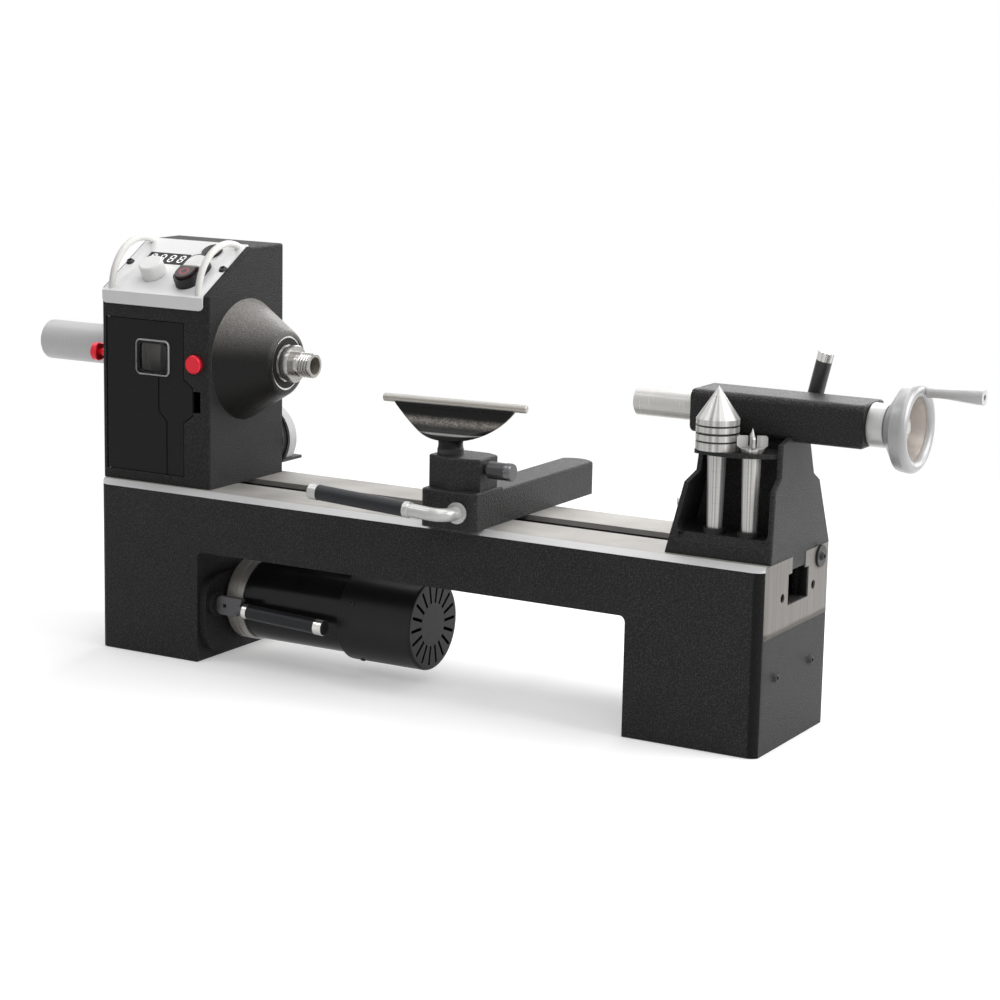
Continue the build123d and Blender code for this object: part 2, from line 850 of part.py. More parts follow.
# Spindle: turned bar with journals, lock collar, nose flange and threaded nose, bored for a taper
collar_left = lock_x - lock_collar_length / 2
collar_right = lock_x + lock_collar_length / 2
shoulder = front_bearing_right + face_gap
flange_left = nose_face - nose_flange_length - nose_chamfer
with BuildPart() as spindle:
    with BuildSketch(spindle_line):
        Polygon(
            (spindle_left, spindle_bore_radius),
            (spindle_left, wheel_seat_radius),
            (wheel_right, wheel_seat_radius),
            (wheel_right, rear_journal_radius),
            (rear_bearing_right + face_gap, rear_journal_radius),
            (rear_bearing_right + face_gap, pulley_seat_radius),
            (pulley_right, pulley_seat_radius),
            (pulley_right, front_journal_radius),
            (collar_left, front_journal_radius),
            (collar_left, lock_collar_radius),
            (collar_right, lock_collar_radius),
            (collar_right, front_journal_radius),
            (shoulder, front_journal_radius),
            (shoulder, nose_collar_radius),
            (flange_left, nose_collar_radius),
            (flange_left, nose_flange_radius),
            (nose_face - nose_chamfer, nose_flange_radius),
            (nose_face, nose_flange_radius - nose_chamfer),
            (nose_face, nose_radius),
            (nose_end - nose_end_chamfer, nose_radius),
            (nose_end, nose_radius - nose_end_chamfer),
            (nose_end, taper_at(0)),
            (nose_end - taper_length, taper_at(taper_length)),
            (nose_end - taper_length, spindle_bore_radius),
            align=None,
        )
    revolve(axis=spindle_axis)
    for turn in (0, 90):
        hole_plane = Plane((lock_x, 0, spindle_z), (1, 0, 0), (0, cos(radians(turn)), sin(radians(turn))))
        with BuildSketch(hole_plane.offset(-lock_collar_radius)):
            Circle(lock_pin_radius + face_gap)
        extrude(amount=lock_collar_radius - front_journal_radius, mode=Mode.SUBTRACT)
        with BuildSketch(hole_plane.offset(front_journal_radius)):
            Circle(lock_pin_radius + face_gap)
        extrude(amount=lock_collar_radius - front_journal_radius, mode=Mode.SUBTRACT)
spindle.part.label = "spindle"
export_step(spindle.part, "parts/spindle.step")

# Spindle pulley with a ring of index holes in its outer face
pulley_blank = stepped_pulley(spindle_step_radii, pulley_seat_radius, spindle_line, spindle_axis)
with BuildPart() as spindle_pulley:
    add(pulley_blank.part)
    with BuildSketch(Plane.YZ.offset(pulley_left)):
        with Locations((0, spindle_z)):
            with PolarLocations(index_radius, index_holes):
                Circle(knob_tip_radius + face_gap)
    extrude(amount=index_hole_depth, mode=Mode.SUBTRACT)
spindle_pulley.part.label = "spindle_pulley"
export_step(spindle_pulley.part, "parts/spindle_pulley.step")

# Outboard handwheel: plain satin cylinder with a knock-out bore
with BuildPart() as outboard_handwheel:
    with BuildSketch(spindle_line):
        Polygon(
            (wheel_left, spindle_bore_radius),
            (wheel_left, handwheel_radius - handwheel_chamfer),
            (wheel_left + handwheel_chamfer, handwheel_radius),
            (wheel_right - handwheel_chamfer, handwheel_radius),
            (wheel_right, handwheel_radius - handwheel_chamfer),
            (wheel_right, wheel_seat_radius + press_gap),
            (spindle_left, wheel_seat_radius + press_gap),
            (spindle_left, spindle_bore_radius),
            align=None,
        )
    revolve(axis=spindle_axis)
outboard_handwheel.part.label = "outboard_handwheel"
export_step(outboard_handwheel.part, "parts/outboard_handwheel.step")

# Belt round the largest spindle step and the smallest motor step
with BuildPart() as drive_belt:
    with BuildSketch(Plane.YZ.offset(pulley_left + (pulley_step - belt_width) / 2)):
        for thickness, mode in ((belt_thickness, Mode.ADD), (0, Mode.SUBTRACT)):
            with BuildSketch(mode=Mode.PRIVATE) as loop:
                with Locations((0, spindle_z)):
                    Circle(spindle_step_radii[0] + face_gap + thickness)
                with Locations((0, motor_z)):
                    Circle(motor_step_radii[0] + face_gap + thickness)
                make_hull()
            add(loop.sketch, mode=mode)
    extrude(amount=belt_width)
drive_belt.part.label = "drive_belt"
export_step(drive_belt.part, "parts/drive_belt.step")

# Belt door: moulded plate, round at the hinge edge, with a window hole and a long groove
window_x = door_left + window_from_left
window_z = door_low + window_from_bottom
window_hole_width = window_width - 2 * window_frame
window_hole_height = window_height - 2 * window_frame
groove_x = door_right - door_groove_inset
groove_knee = step_low - 1.0
with BuildPart() as belt_door:
    with BuildSketch(Plane.XZ.offset(-hs_front)):
        Polygon(*door_outline(0), align=None)
    extrude(amount=-door_thickness)
    hinge_edges = belt_door.edges().filter_by(Axis.Z).sort_by(Axis.X)[:2]
    fillet(hinge_edges, door_thickness / 2 - press_gap)
    with BuildSketch(Plane.XZ.offset(-hs_front)):
        with Locations((window_x, window_z)):
            RectangleRounded(window_hole_width, window_hole_height, window_corner - window_frame / 2)
    extrude(amount=-door_thickness, mode=Mode.SUBTRACT)
    with BuildSketch(Plane.XZ.offset(-hs_front)):
        with BuildLine():
            Polyline(
                (groove_x, window_z - window_height / 2),
                (groove_x, groove_knee + door_groove_jog),
                (groove_x + door_groove_jog, groove_knee),
                (groove_x + door_groove_jog, door_low),
            )
            offset(amount=door_groove_width / 2)
        make_face()
    extrude(amount=-door_groove_depth, mode=Mode.SUBTRACT)
    with BuildSketch(Plane.XY.offset(door_low)):
        with Locations((hinge_x, hinge_y)):
            Circle(hinge_pin_radius + press_gap)
    extrude(amount=hinge_pin_length / 2, mode=Mode.SUBTRACT)
    with BuildSketch(Plane.XY.offset(door_top)):
        with Locations((hinge_x, hinge_y)):
            Circle(hinge_pin_radius + press_gap)
    extrude(amount=-hinge_pin_length / 2, mode=Mode.SUBTRACT)
belt_door.part.label = "belt_door"
export_step(belt_door.part, "parts/belt_door.step")

# Window: one clear moulding with a bevelled rim, plugged into the door
with BuildPart() as door_window:
    with BuildSketch(Plane.XZ.offset(-hs_front)):
        with Locations((window_x, window_z)):
            RectangleRounded(window_width, window_height, window_corner)
    extrude(amount=window_proud)
    chamfer(door_window.faces().sort_by(Axis.Y)[0].edges(), window_proud * 0.6)
    with BuildSketch(Plane.XZ.offset(-hs_front)):
        with Locations((window_x, window_z)):
            RectangleRounded(
                window_hole_width - 2 * press_gap,
                window_hole_height - 2 * press_gap,
                window_corner - window_frame / 2,
            )
    extrude(amount=-door_thickness)
door_window.part.label = "door_window"
export_step(door_window.part, "parts/door_window.step")

# Hinge pins at the top and bottom of the door
with BuildPart() as door_hinge_pins:
    for height in (door_low - door_gap / 2, door_top + door_gap / 2):
        with BuildSketch(Plane.XY.offset(height - hinge_pin_length / 2 + face_gap)):
            with Locations((hinge_x, hinge_y)):
                Circle(hinge_pin_radius)
        extrude(amount=hinge_pin_length - 2 * face_gap)
door_hinge_pins.part.label = "door_hinge_pins"
export_step(door_hinge_pins.part, "parts/door_hinge_pins.step")

# Spindle lock: red button on a pin that stops short of the lock collar
with BuildPart() as lock_button:
    with BuildSketch(Plane.XZ.offset(-hs_front + lock_head_proud)):
        with Locations((lock_x, spindle_z)):
            Circle(lock_head_radius)
    extrude(amount=-lock_head_length)
    chamfer(lock_button.faces().sort_by(Axis.Y)[0].edges(), 1.2)
    with BuildSketch(Plane.XZ.offset(-hs_front + lock_head_proud - lock_head_length)):
        with Locations((lock_x, spindle_z)):
            Circle(lock_pin_radius)
    extrude(amount=-(hs_half + lock_head_proud - lock_head_length - lock_collar_radius - lock_tip_gap))
lock_button.part.label = "lock_button"
export_step(lock_button.part, "parts/lock_button.step")

# Index pin: red pull knob outside the left wall, its tip just off the pulley face
index_line = Plane((0, -index_radius, spindle_z), x_dir=(1, 0, 0), z_dir=(0, -1, 0))
knob_right = hs_left - knob_standoff
pin_end = pulley_left - knob_tip_gap
tip_start = pulley_left - knob_travel - face_gap
with BuildPart() as index_knob:
    with BuildSketch(index_line):
        Polygon(
            (knob_right - knob_head_length, 0),
            (knob_right - knob_head_length, knob_head_radius - 1.5),
            (knob_right - knob_head_length + 1.5, knob_head_radius),
            (knob_right - 1.0, knob_head_radius),
            (knob_right, knob_head_radius - 1.0),
            (knob_right, knob_pin_radius),
            (tip_start - knob_tip_slant, knob_pin_radius),
            (tip_start, knob_tip_radius),
            (pin_end, knob_tip_radius),
            (pin_end, 0),
            align=None,
        )
    revolve(axis=Axis((0, -index_radius, spindle_z), (1, 0, 0)))
index_knob.part.label = "index_knob"
export_step(index_knob.part, "parts/index_knob.step")

# Control panel: bent plate over the slanted face with a lip down the front
lip_low = hs_front_top - panel_lip
outer_y = hs_front - panel_thickness
bend_z = hs_front_top + panel_thickness * cos(slope) + panel_thickness * (sin(slope) - 1) * tan(slope)
with BuildPart() as control_panel:
    with BuildSketch(Plane.YZ.offset(panel_left)):
        Polygon(
            (hs_front, lip_low),
            (hs_front, hs_front_top),
            (knee_y, hs_top),
            (knee_y - panel_thickness * sin(slope), hs_top + panel_thickness * cos(slope)),
            (outer_y, bend_z),
            (outer_y, lip_low),
            align=None,
        )
    extrude(amount=panel_width)
    fillet(control_panel.edges().filter_by(Axis.Y).sort_by(Axis.Z)[:2], panel_lip_corner)
    with BuildSketch(panel):
        with Locations((speed_x, speed_s)):
            Circle(speed_shaft_radius + running_fit)
        with Locations((switch_x, switch_s)):
            Circle(switch_barrel_radius + press_gap)
        with Locations((selector_x, selector_s)):
            Circle(selector_barrel_radius + press_gap)
        with Locations((display_x, display_s)):
            Rectangle(display_width + 2 * press_gap, display_height + 2 * press_gap)
        with Locations((0, panel_screw_s)):
            with GridLocations(panel_width - 2 * panel_screw_inset, 0, 2, 1):
                Circle(screw_radius + press_gap)
    extrude(amount=panel_thickness, mode=Mode.SUBTRACT)
control_panel.part.label = "control_panel"
export_step(control_panel.part, "parts/control_panel.step")

# Carry handles: round rod bent to an arc, cut off flat on the panel
arc_radius = (handle_rise**2 + (handle_span / 2) ** 2) / (2 * handle_rise)
for name, side in (("carry_handle_left", -1), ("carry_handle_right", 1)):
    arc_place = (side * (panel_width / 2 - handle_inset), handle_s, panel_thickness + handle_rise - arc_radius)
    arc_centre = panel.from_local_coords(arc_place)
    with BuildPart() as handle:
        with BuildSketch(Plane(arc_centre, x_dir=(1, 0, 0), z_dir=(0, -cos(slope), -sin(slope)))):
            with Locations((0, arc_radius)):
                Circle(handle_rod_radius)
        revolve(axis=Axis(arc_centre, (1, 0, 0)))
        split(bisect_by=panel_top, keep=Keep.TOP)
    handle.part.label = name
    export_step(handle.part, f"parts/{name}.step")

# Speed display pane
with BuildPart() as display_window:
    with BuildSketch(panel):
        with Locations((display_x, display_s)):
            Rectangle(display_width, display_height)
    extrude(amount=panel_thickness + display_proud)
display_window.part.label = "display_window"
export_step(display_window.part, "parts/display_window.step")

# Speed knob on its shaft
knob_foot = panel_thickness + face_gap
knob_top = knob_foot + speed_height
knob_top_radius = speed_radius - speed_height * tan(radians(speed_taper))
speed_place = panel.from_local_coords((speed_x, speed_s, 0))
with BuildPart() as speed_knob:
    with BuildSketch(Plane(speed_place, x_dir=(1, 0, 0), z_dir=(0, -cos(slope), -sin(slope)))):
        Polygon(
            (0, knob_foot - speed_shaft_length),
            (speed_shaft_radius, knob_foot - speed_shaft_length),
            (speed_shaft_radius, knob_foot),
            (speed_radius, knob_foot),
            (knob_top_radius, knob_top - speed_edge),
            (knob_top_radius - speed_edge, knob_top),
            (0, knob_top),
            align=None,
        )
    revolve(axis=Axis(speed_place, panel_normal))
speed_knob.part.label = "speed_knob"
export_step(speed_knob.part, "parts/speed_knob.step")

# Double push-button: long oval bezel with two pockets, and a button in each
pocket_width = switch_width - 2 * switch_wall
pocket_length = switch_length - 2 * switch_wall


def half_oval(side, shrink):
    """One end of the oval pocket, cut square at the web, drawn in by a gap."""
    SlotOverall(pocket_length - 2 * shrink, pocket_width - 2 * shrink, rotation=90)
    reach = pocket_length / 2
    web = switch_web / 2 + shrink
    with Locations((0, side * (web + reach / 2))):
        Rectangle(pocket_width, reach, mode=Mode.INTERSECT)


switch_face = panel_top
with BuildPart() as switch_bezel:
    with BuildSketch(switch_face):
        with Locations((switch_x, switch_s)):
            SlotOverall(switch_length, switch_width, rotation=90)
    extrude(amount=switch_height, taper=3)
    with BuildSketch(panel):
        with Locations((switch_x, switch_s)):
            Circle(switch_barrel_radius)
    extrude(amount=panel_thickness)
    with BuildSketch(panel):
        with Locations((switch_x, switch_s)):
            Circle(switch_barrel_radius)
    extrude(amount=-switch_barrel_length)
    for side in (-1, 1):
        with BuildSketch(mode=Mode.PRIVATE) as pocket:
            half_oval(side, 0)
        with BuildSketch(switch_face.offset(switch_floor)):
            with Locations((switch_x, switch_s)):
                add(pocket.sketch)
        extrude(amount=switch_height, mode=Mode.SUBTRACT)
switch_bezel.part.label = "switch_bezel"
export_step(switch_bezel.part, "parts/switch_bezel.step")

for name, side, proud in (("start_button", 1, start_proud), ("stop_button", -1, stop_proud)):
    button_low = switch_floor + button_travel + face_gap
    with BuildPart() as button:
        with BuildSketch(mode=Mode.PRIVATE) as cap_shape:
            half_oval(side, button_gap)
        with BuildSketch(switch_face.offset(button_low)):
            with Locations((switch_x, switch_s)):
                add(cap_shape.sketch)
        extrude(amount=switch_height - button_low + proud)
        chamfer(button.faces().sort_by(Axis(panel.origin, panel.z_dir))[-1].edges(), 0.8)
    button.part.label = name
    export_step(button.part, f"parts/{name}.step")

# Direction switch: round bezel with a drum-shaped rocker
rocker_gap = 0.4
with BuildPart() as direction_bezel:
    with BuildSketch(panel_top):
        with Locations((selector_x, selector_s)):
            Circle(selector_radius)
    extrude(amount=selector_height)
    with BuildSketch(panel_top):
        with Locations((selector_x, selector_s)):
            Circle(selector_barrel_radius)
    extrude(amount=-selector_barrel_length - panel_thickness)
    with BuildSketch(panel_top.offset(selector_height)):
        with Locations((selector_x, selector_s)):
            Rectangle(rocker_width + 2 * rocker_gap, 2 * (rocker_radius + rocker_gap))
    extrude(amount=-(selector_height + rocker_radius + panel_thickness), mode=Mode.SUBTRACT)
direction_bezel.part.label = "direction_bezel"
export_step(direction_bezel.part, "parts/direction_bezel.step")

rocker_place = panel.from_local_coords((selector_x - rocker_width / 2, selector_s, rocker_gap))
rocker_centre = panel.from_local_coords((selector_x, selector_s, rocker_gap))
lean = slope + radians(rocker_tilt)
rocker_top = Plane(rocker_centre, x_dir=(1, 0, 0), z_dir=(0, -sin(lean), cos(lean)))
with BuildPart() as direction_rocker:
    with BuildSketch(Plane(rocker_place, x_dir=(0, 1, 0), z_dir=(1, 0, 0))):
        Circle(rocker_radius)
    extrude(amount=rocker_width)
    split(bisect_by=rocker_top.offset(rocker_flat), keep=Keep.BOTTOM)
direction_rocker.part.label = "direction_rocker"
export_step(direction_rocker.part, "parts/direction_rocker.step")

# Shelf bracket behind the headstock, with the black drum that stands on it
shelf_left = hs_right - shelf_width
shelf_low = bed_height + shelf_rise
ring_x = hs_right - ring_inset_x
ring_z = bed_height + ring_centre_rise
shelf_top = Plane.XY.offset(shelf_low + shelf_thickness)
with BuildPart() as rear_bracket:
    with BuildSketch(Plane.XY.offset(shelf_low)):
        with Locations((hs_right - shelf_width / 2, hs_back + shelf_depth / 2)):
            Rectangle(shelf_width, shelf_depth)
    extrude(amount=shelf_thickness)
    with BuildSketch(Plane.XZ.offset(-hs_back)):
        with Locations((ring_x, ring_z)):
            Circle(drum_radius)
    extrude(amount=-drum_length)
    split(bisect_by=Plane.XY.offset(shelf_low), keep=Keep.TOP)
rear_bracket.part.label = "rear_bracket"
export_step(rear_bracket.part, "parts/rear_bracket.step")

with BuildPart() as rear_ring:
    with BuildSketch(Plane.XZ.offset(-hs_back - drum_length + ring_width)):
        with Locations((ring_x, ring_z)):
            Circle(ring_radius)
            Circle(ring_radius - ring_wall, mode=Mode.SUBTRACT)
    extrude(amount=-ring_width)
    split(bisect_by=shelf_top, keep=Keep.TOP)
rear_ring.part.label = "rear_ring"
export_step(rear_ring.part, "parts/rear_ring.step")

# Gland where the mains lead enters, low on the back
with BuildPart() as mains_gland:
    with BuildSketch(Plane.XZ.offset(-hs_back)):
        with Locations((hs_right - gland_x_inset, bed_height + gland_rise)):
            RegularPolygon(gland_radius, 6)
            Circle(gland_bore_radius, mode=Mode.SUBTRACT)
    extrude(amount=-gland_length / 2)
    with BuildSketch(Plane.XZ.offset(-hs_back - gland_length / 2)):
        with Locations((hs_right - gland_x_inset, bed_height + gland_rise)):
            Circle(gland_radius * 0.75)
            Circle(gland_bore_radius, mode=Mode.SUBTRACT)
    extrude(amount=-gland_length / 2, taper=6)
mains_gland.part.label = "mains_gland"
export_step(mains_gland.part, "parts/mains_gland.step")

# Motor plate against the inside of the left leg, and the bolt it swings on
plate_left = left_leg_inside + motor_plate_gap
plate_right = plate_left + motor_plate_thickness
bracket_z = motor_z + tension_plate_z
with BuildPart() as motor_plate:
    with BuildSketch(Plane.YZ.offset(plate_left)):
        with Locations((0, motor_z - motor_plate_sink)):
            RectangleRounded(motor_plate_width, motor_plate_height, motor_plate_corner)
        with Locations((0, motor_z)):
            Circle(rotor_radius + face_gap, mode=Mode.SUBTRACT)
        with Locations((motor_pivot_y, motor_z)):
            Circle(motor_pivot_radius + running_fit, mode=Mode.SUBTRACT)
    extrude(amount=motor_plate_thickness)
    with BuildSketch(Plane.YZ.offset(plate_right)):
        with Locations((tension_y, bracket_z)):
            Circle(tension_boss_radius)
    extrude(amount=tension_boss_length)
motor_plate.part.label = "motor_plate"
export_step(motor_plate.part, "parts/motor_plate.step")

with BuildPart() as motor_pivot_bolt:
    with BuildSketch(Plane.YZ.offset(left_leg_inside - bed_wall)):
        with Locations((motor_pivot_y, motor_z)):
            Circle(motor_pivot_radius)
    extrude(amount=plate_right + face_gap - left_leg_inside + bed_wall)
    with BuildSketch(Plane.YZ.offset(plate_right + face_gap)):
        with Locations((motor_pivot_y, motor_z)):
            Circle(motor_pivot_head_radius)
    extrude(amount=motor_pivot_head_length)
motor_pivot_bolt.part.label = "motor_pivot_bolt"
export_step(motor_pivot_bolt.part, "parts/motor_pivot_bolt.step")

# Motor: bright end bell, black can, slotted fan cover
bell_right = plate_right + end_bell_length
can_right = bell_right + motor_length
cover_left = can_right - fan_cover_overlap
cover_right = cover_left + fan_cover_length
with BuildPart() as motor_end_bell:
    with BuildSketch(motor_line):
        Polygon(
            (plate_right, rotor_radius + face_gap),
            (plate_right, end_bell_radius - 3.0),
            (plate_right + 3.0, end_bell_radius),
            (bell_right, end_bell_radius),
            (bell_right, rotor_radius + face_gap),
            align=None,
        )
        groove_mid = (plate_right + bell_right) / 2
        with Locations((groove_mid + 3.0, end_bell_radius)):
            Rectangle(1.6, 2.4, mode=Mode.SUBTRACT)
    revolve(axis=motor_axis)
motor_end_bell.part.label = "motor_end_bell"
export_step(motor_end_bell.part, "parts/motor_end_bell.step")

with BuildPart() as motor_body:
    with BuildSketch(Plane.YZ.offset(bell_right)):
        with Locations((0, motor_z)):
            Circle(motor_radius)
            Circle(rotor_radius + face_gap, mode=Mode.SUBTRACT)
    extrude(amount=motor_length)
motor_body.part.label = "motor_body"
export_step(motor_body.part, "parts/motor_body.step")

with BuildPart() as fan_cover:
    with BuildSketch(Plane.YZ.offset(cover_left)):
        with Locations((0, motor_z)):
            Circle(fan_cover_radius)
    extrude(amount=fan_cover_length)
    fillet(fan_cover.faces().sort_by(Axis.X)[-1].edges(), fan_cover_round)
    with BuildSketch(Plane.YZ.offset(cover_left)):
        with Locations((0, motor_z)):
            Circle(fan_cover_radius - fan_cover_wall)
    extrude(amount=fan_cover_length - fan_cover_wall, mode=Mode.SUBTRACT)
    with BuildSketch(Plane.YZ.offset(cover_left)):
        with Locations((0, motor_z)):
            Circle(fan_cover_radius - fan_cover_wall)
            Circle(motor_radius + press_gap, mode=Mode.SUBTRACT)
    extrude(amount=fan_cover_overlap)
    with BuildSketch(Plane.YZ.offset(cover_right)):
        with Locations((0, motor_z)):
            with PolarLocations((fan_slot_inner + fan_slot_outer) / 2, fan_slots):
                Rectangle(fan_slot_outer - fan_slot_inner, fan_slot_width)
    extrude(amount=-fan_cover_wall, mode=Mode.SUBTRACT)
fan_cover.part.label = "fan_cover"
export_step(fan_cover.part, "parts/fan_cover.step")

# Rotor shaft with its cooling fan
fan_left = can_right + fan_clearance
fan_right = fan_left + fan_width
with BuildPart() as motor_rotor:
    with BuildSketch(Plane.YZ.offset(pulley_left - 4.0)):
        with Locations((0, motor_z)):
            Circle(rotor_radius)
    extrude(amount=fan_right - pulley_left + 4.0)
    with BuildSketch(Plane.YZ.offset(fan_left)):
        with Locations((0, motor_z)):
            Circle(fan_hub_radius)
            with PolarLocations((fan_radius + fan_hub_radius) / 2 - 1.0, fan_blades):
                Rectangle(fan_radius - fan_hub_radius + 2.0, fan_blade_thickness)
    extrude(amount=fan_width)
motor_rotor.part.label = "motor_rotor"
export_step(motor_rotor.part, "parts/motor_rotor.step")

motor_pulley = stepped_pulley(motor_step_radii, rotor_radius, motor_line, motor_axis)
motor_pulley.part.label = "motor_pulley"
export_step(motor_pulley.part, "parts/motor_pulley.step")

# Tension lever: flat bracket off the boss on the motor plate, then a rod with a grip
bracket_left = plate_right + tension_boss_length
bracket_right = plate_right + tension_plate_length
bracket_low = bracket_z - tension_plate_height / 2
bracket_high = bracket_z + tension_plate_height / 2
dip = radians(tension_slope)
tension_rod_z = bracket_low + ferrule_radius - 1.0
tension_frame = Plane(
    (bracket_right, tension_y, tension_rod_z), x_dir=(cos(dip), 0, -sin(dip)), z_dir=(0, -1, 0)
)
with BuildPart() as tension_bracket:
    with BuildSketch(Plane.XZ.offset(-tension_y - tension_plate / 2)):
        Polygon(
            (bracket_left, bracket_low),
            (bracket_right - tension_slant, bracket_low),
            (bracket_right, bracket_high),
            (bracket_left, bracket_high),
            align=None,
        )
        fillet(vertices().group_by(Axis.X)[0], tension_corner)
        fillet(vertices().sort_by(Axis.X)[-1:], tension_corner / 3)
        with Locations((bracket_left + tension_square_inset, bracket_z)):
            Rectangle(tension_square, tension_square, mode=Mode.SUBTRACT)
    extrude(amount=tension_plate)
    with BuildSketch(Plane(tension_frame.origin, x_dir=(0, 1, 0), z_dir=tension_frame.x_dir)):
        Circle(grip_rod_radius)
    extrude(amount=-tension_slant)
tension_bracket.part.label = "tension_bracket"
export_step(tension_bracket.part, "parts/tension_bracket.step")


def lever_grip(frame, start, length):
    """Sleeve along the frame's own x axis, over the lever's rod."""
    with BuildPart() as sleeve:
        with BuildSketch(frame):
            with Locations((start + length / 2, (grip_radius + grip_rod_radius + press_gap) / 2)):
                Rectangle(length, grip_radius - grip_rod_radius - press_gap)
        revolve(axis=Axis(frame.origin, frame.x_dir))
    return sleeve


def rod_profile(start, length):
    """Half-outline of a lever rod: ferrule, thin core under the grip, round-edged end cap."""
    grip_end = start + ferrule_length + length
    cap_end = grip_end + cap_length
    Polygon(
        (start, 0),
        (start, ferrule_radius - 0.8),
        (start + 0.8, ferrule_radius),
        (start + ferrule_length, ferrule_radius),
        (start + ferrule_length, grip_rod_radius),
        (grip_end, grip_rod_radius),
        (grip_end, cap_radius),
        (cap_end - 1.0, cap_radius),
        (cap_end, cap_radius - 1.0),
        (cap_end, 0),
        align=None,
    )


with BuildPart() as tension_rod:
    with BuildSketch(tension_frame):
        rod_profile(face_gap, grip_length - ferrule_length - cap_length)
    revolve(axis=Axis(tension_frame.origin, tension_frame.x_dir))
tension_rod.part.label = "tension_rod"
export_step(tension_rod.part, "parts/tension_rod.step")

tension_grip = lever_grip(tension_frame, face_gap + ferrule_length, grip_length - ferrule_length - cap_length)
tension_grip.part.label = "tension_grip"
export_step(tension_grip.part, "parts/tension_grip.step")

# Clamp under the ways for the banjo: plate, and an eye bolt round the cam
cam_z = bed_height + cam_rise
clamp_top = way_bottom - clamp_gap
clamp_low = clamp_top - clamp_thickness
cam_reach = cam_core_radius + cam_throw


def clamp_plate(x):
    """Flat plate under both ways with a hole for its bolt."""
    with BuildPart() as plate:
        with BuildSketch(Plane.XY.offset(clamp_low)):
            with Locations((x, 0)):
                RectangleRounded(clamp_length, clamp_width, 5)
                Circle(stud_radius + running_fit, mode=Mode.SUBTRACT)
        extrude(amount=clamp_thickness)
    return plate


def eye_bolt(x):
    """Bolt with a crosswise eye round the cam shaft and a nut under the clamp plate."""
    with BuildPart() as bolt:
        with BuildSketch(Plane.XZ):
            with Locations((x, cam_z)):
                Circle(eye_radius)
        extrude(amount=eye_length / 2, both=True)
        with BuildSketch(Plane.XY.offset(clamp_low - nut_height)):
            with Locations((x, 0)):
                Circle(stud_radius)
        extrude(amount=cam_z - clamp_low + nut_height)
        with BuildSketch(Plane.XY.offset(clamp_low)):
            with Locations((x, 0)):
                RegularPolygon(nut_radius, 6)
        extrude(amount=-nut_height)
        with BuildSketch(Plane.XZ):
            with Locations((x, cam_z)):
                Circle(cam_reach + eye_bore_gap)
        extrude(amount=eye_length, both=True, mode=Mode.SUBTRACT)
    return bolt


rest_clamp_plate = clamp_plate(banjo_x)
rest_clamp_plate.part.label = "rest_clamp_plate"
export_step(rest_clamp_plate.part, "parts/rest_clamp_plate.step")

rest_eye_bolt = eye_bolt(banjo_x)
rest_eye_bolt.part.label = "rest_eye_bolt"
export_step(rest_eye_bolt.part, "parts/rest_eye_bolt.step")

# Banjo: front block, long arm over the ways, faceted collar for the post
arm_right = banjo_x + arm_width / 2
arm_left = banjo_x - arm_width / 2
base_back = base_front + base_depth
collar_top = bed_height + collar_rise
base_top = bed_height + base_height
collar_mid = (base_left + arm_right) / 2
collar_left_side = base_left + collar_inset
collar_right_side = arm_right - collar_inset
channel_half = arm_width / 2 - arm_wall
with BuildPart() as banjo_block:
    with BuildSketch(Plane.XY.offset(bed_height)):
        with Locations((collar_mid, base_front + base_depth / 2)):
            Rectangle(arm_right - base_left, base_depth)
        fillet(vertices().sort_by(Axis.Y)[:2], base_corner)
        fillet(vertices().sort_by(Axis.Y)[-2:].sort_by(Axis.X)[:1], base_corner)
    extrude(amount=base_height)
    fillet(banjo_block.faces().sort_by(Axis.Z)[-1].edges(), base_edge)

with BuildPart() as banjo:
    with BuildSketch(Plane.XY.offset(bed_height)):
        with BuildLine():
            Polyline(
                (arm_left, arm_back - arm_end_bulge),
                (arm_left, base_front + base_depth / 2),
                (arm_right, base_front + base_depth / 2),
                (arm_right, arm_back - arm_end_bulge),
            )
            ThreePointArc(
                (arm_right, arm_back - arm_end_bulge),
                (banjo_x, arm_back),
                (arm_left, arm_back - arm_end_bulge),
            )
        make_face()
    extrude(amount=arm_height)
    fillet(banjo.faces().sort_by(Axis.Z)[-1].edges(), arm_edge)
    add(banjo_block.part)
    with BuildSketch(Plane.XY.offset(base_top - base_edge)):
        Polygon(
            (collar_left_side, collar_side_front),
            (collar_mid, collar_front + base_edge),
            (collar_right_side, collar_side_front),
            (collar_right_side, collar_back - collar_back_cut / 2),
            (collar_right_side - collar_back_cut, collar_back),
            (collar_left_side + collar_back_cut, collar_back),
            (collar_left_side, collar_back - collar_back_cut),
            align=None,
        )
        fillet(vertices(), 1.5)
    extrude(amount=collar_top - base_top + base_edge)
    chamfer(banjo.faces().sort_by(Axis.Z)[-1].edges(), 1.2)
    with BuildSketch(Plane.XY.offset(bed_height)):
        with Locations((banjo_x, (channel_front + channel_back) / 2)):
            Rectangle(2 * channel_half, channel_back - channel_front)
    extrude(amount=arm_height - arm_roof, mode=Mode.SUBTRACT)
    with BuildSketch(Plane.XZ.offset(-base_front)):
        with Locations((banjo_x, cam_z)):
            Circle(cam_radius + running_fit)
    extrude(amount=-(channel_back + cam_tail + face_gap - base_front), mode=Mode.SUBTRACT)
    with BuildSketch(Plane.XY.offset(bed_height + post_floor)):
        with Locations((post_x, post_y)):
            Circle(post_radius + running_fit)
    extrude(amount=collar_rise, mode=Mode.SUBTRACT)
    with BuildSketch(Plane.YZ.offset(post_x)):
        with Locations((post_y, bed_height + post_lock_rise)):
            Circle(post_lock_radius + running_fit)
    extrude(amount=arm_right - post_x + 1.0, mode=Mode.SUBTRACT)
banjo.part.label = "banjo"
export_step(banjo.part, "parts/banjo.step")


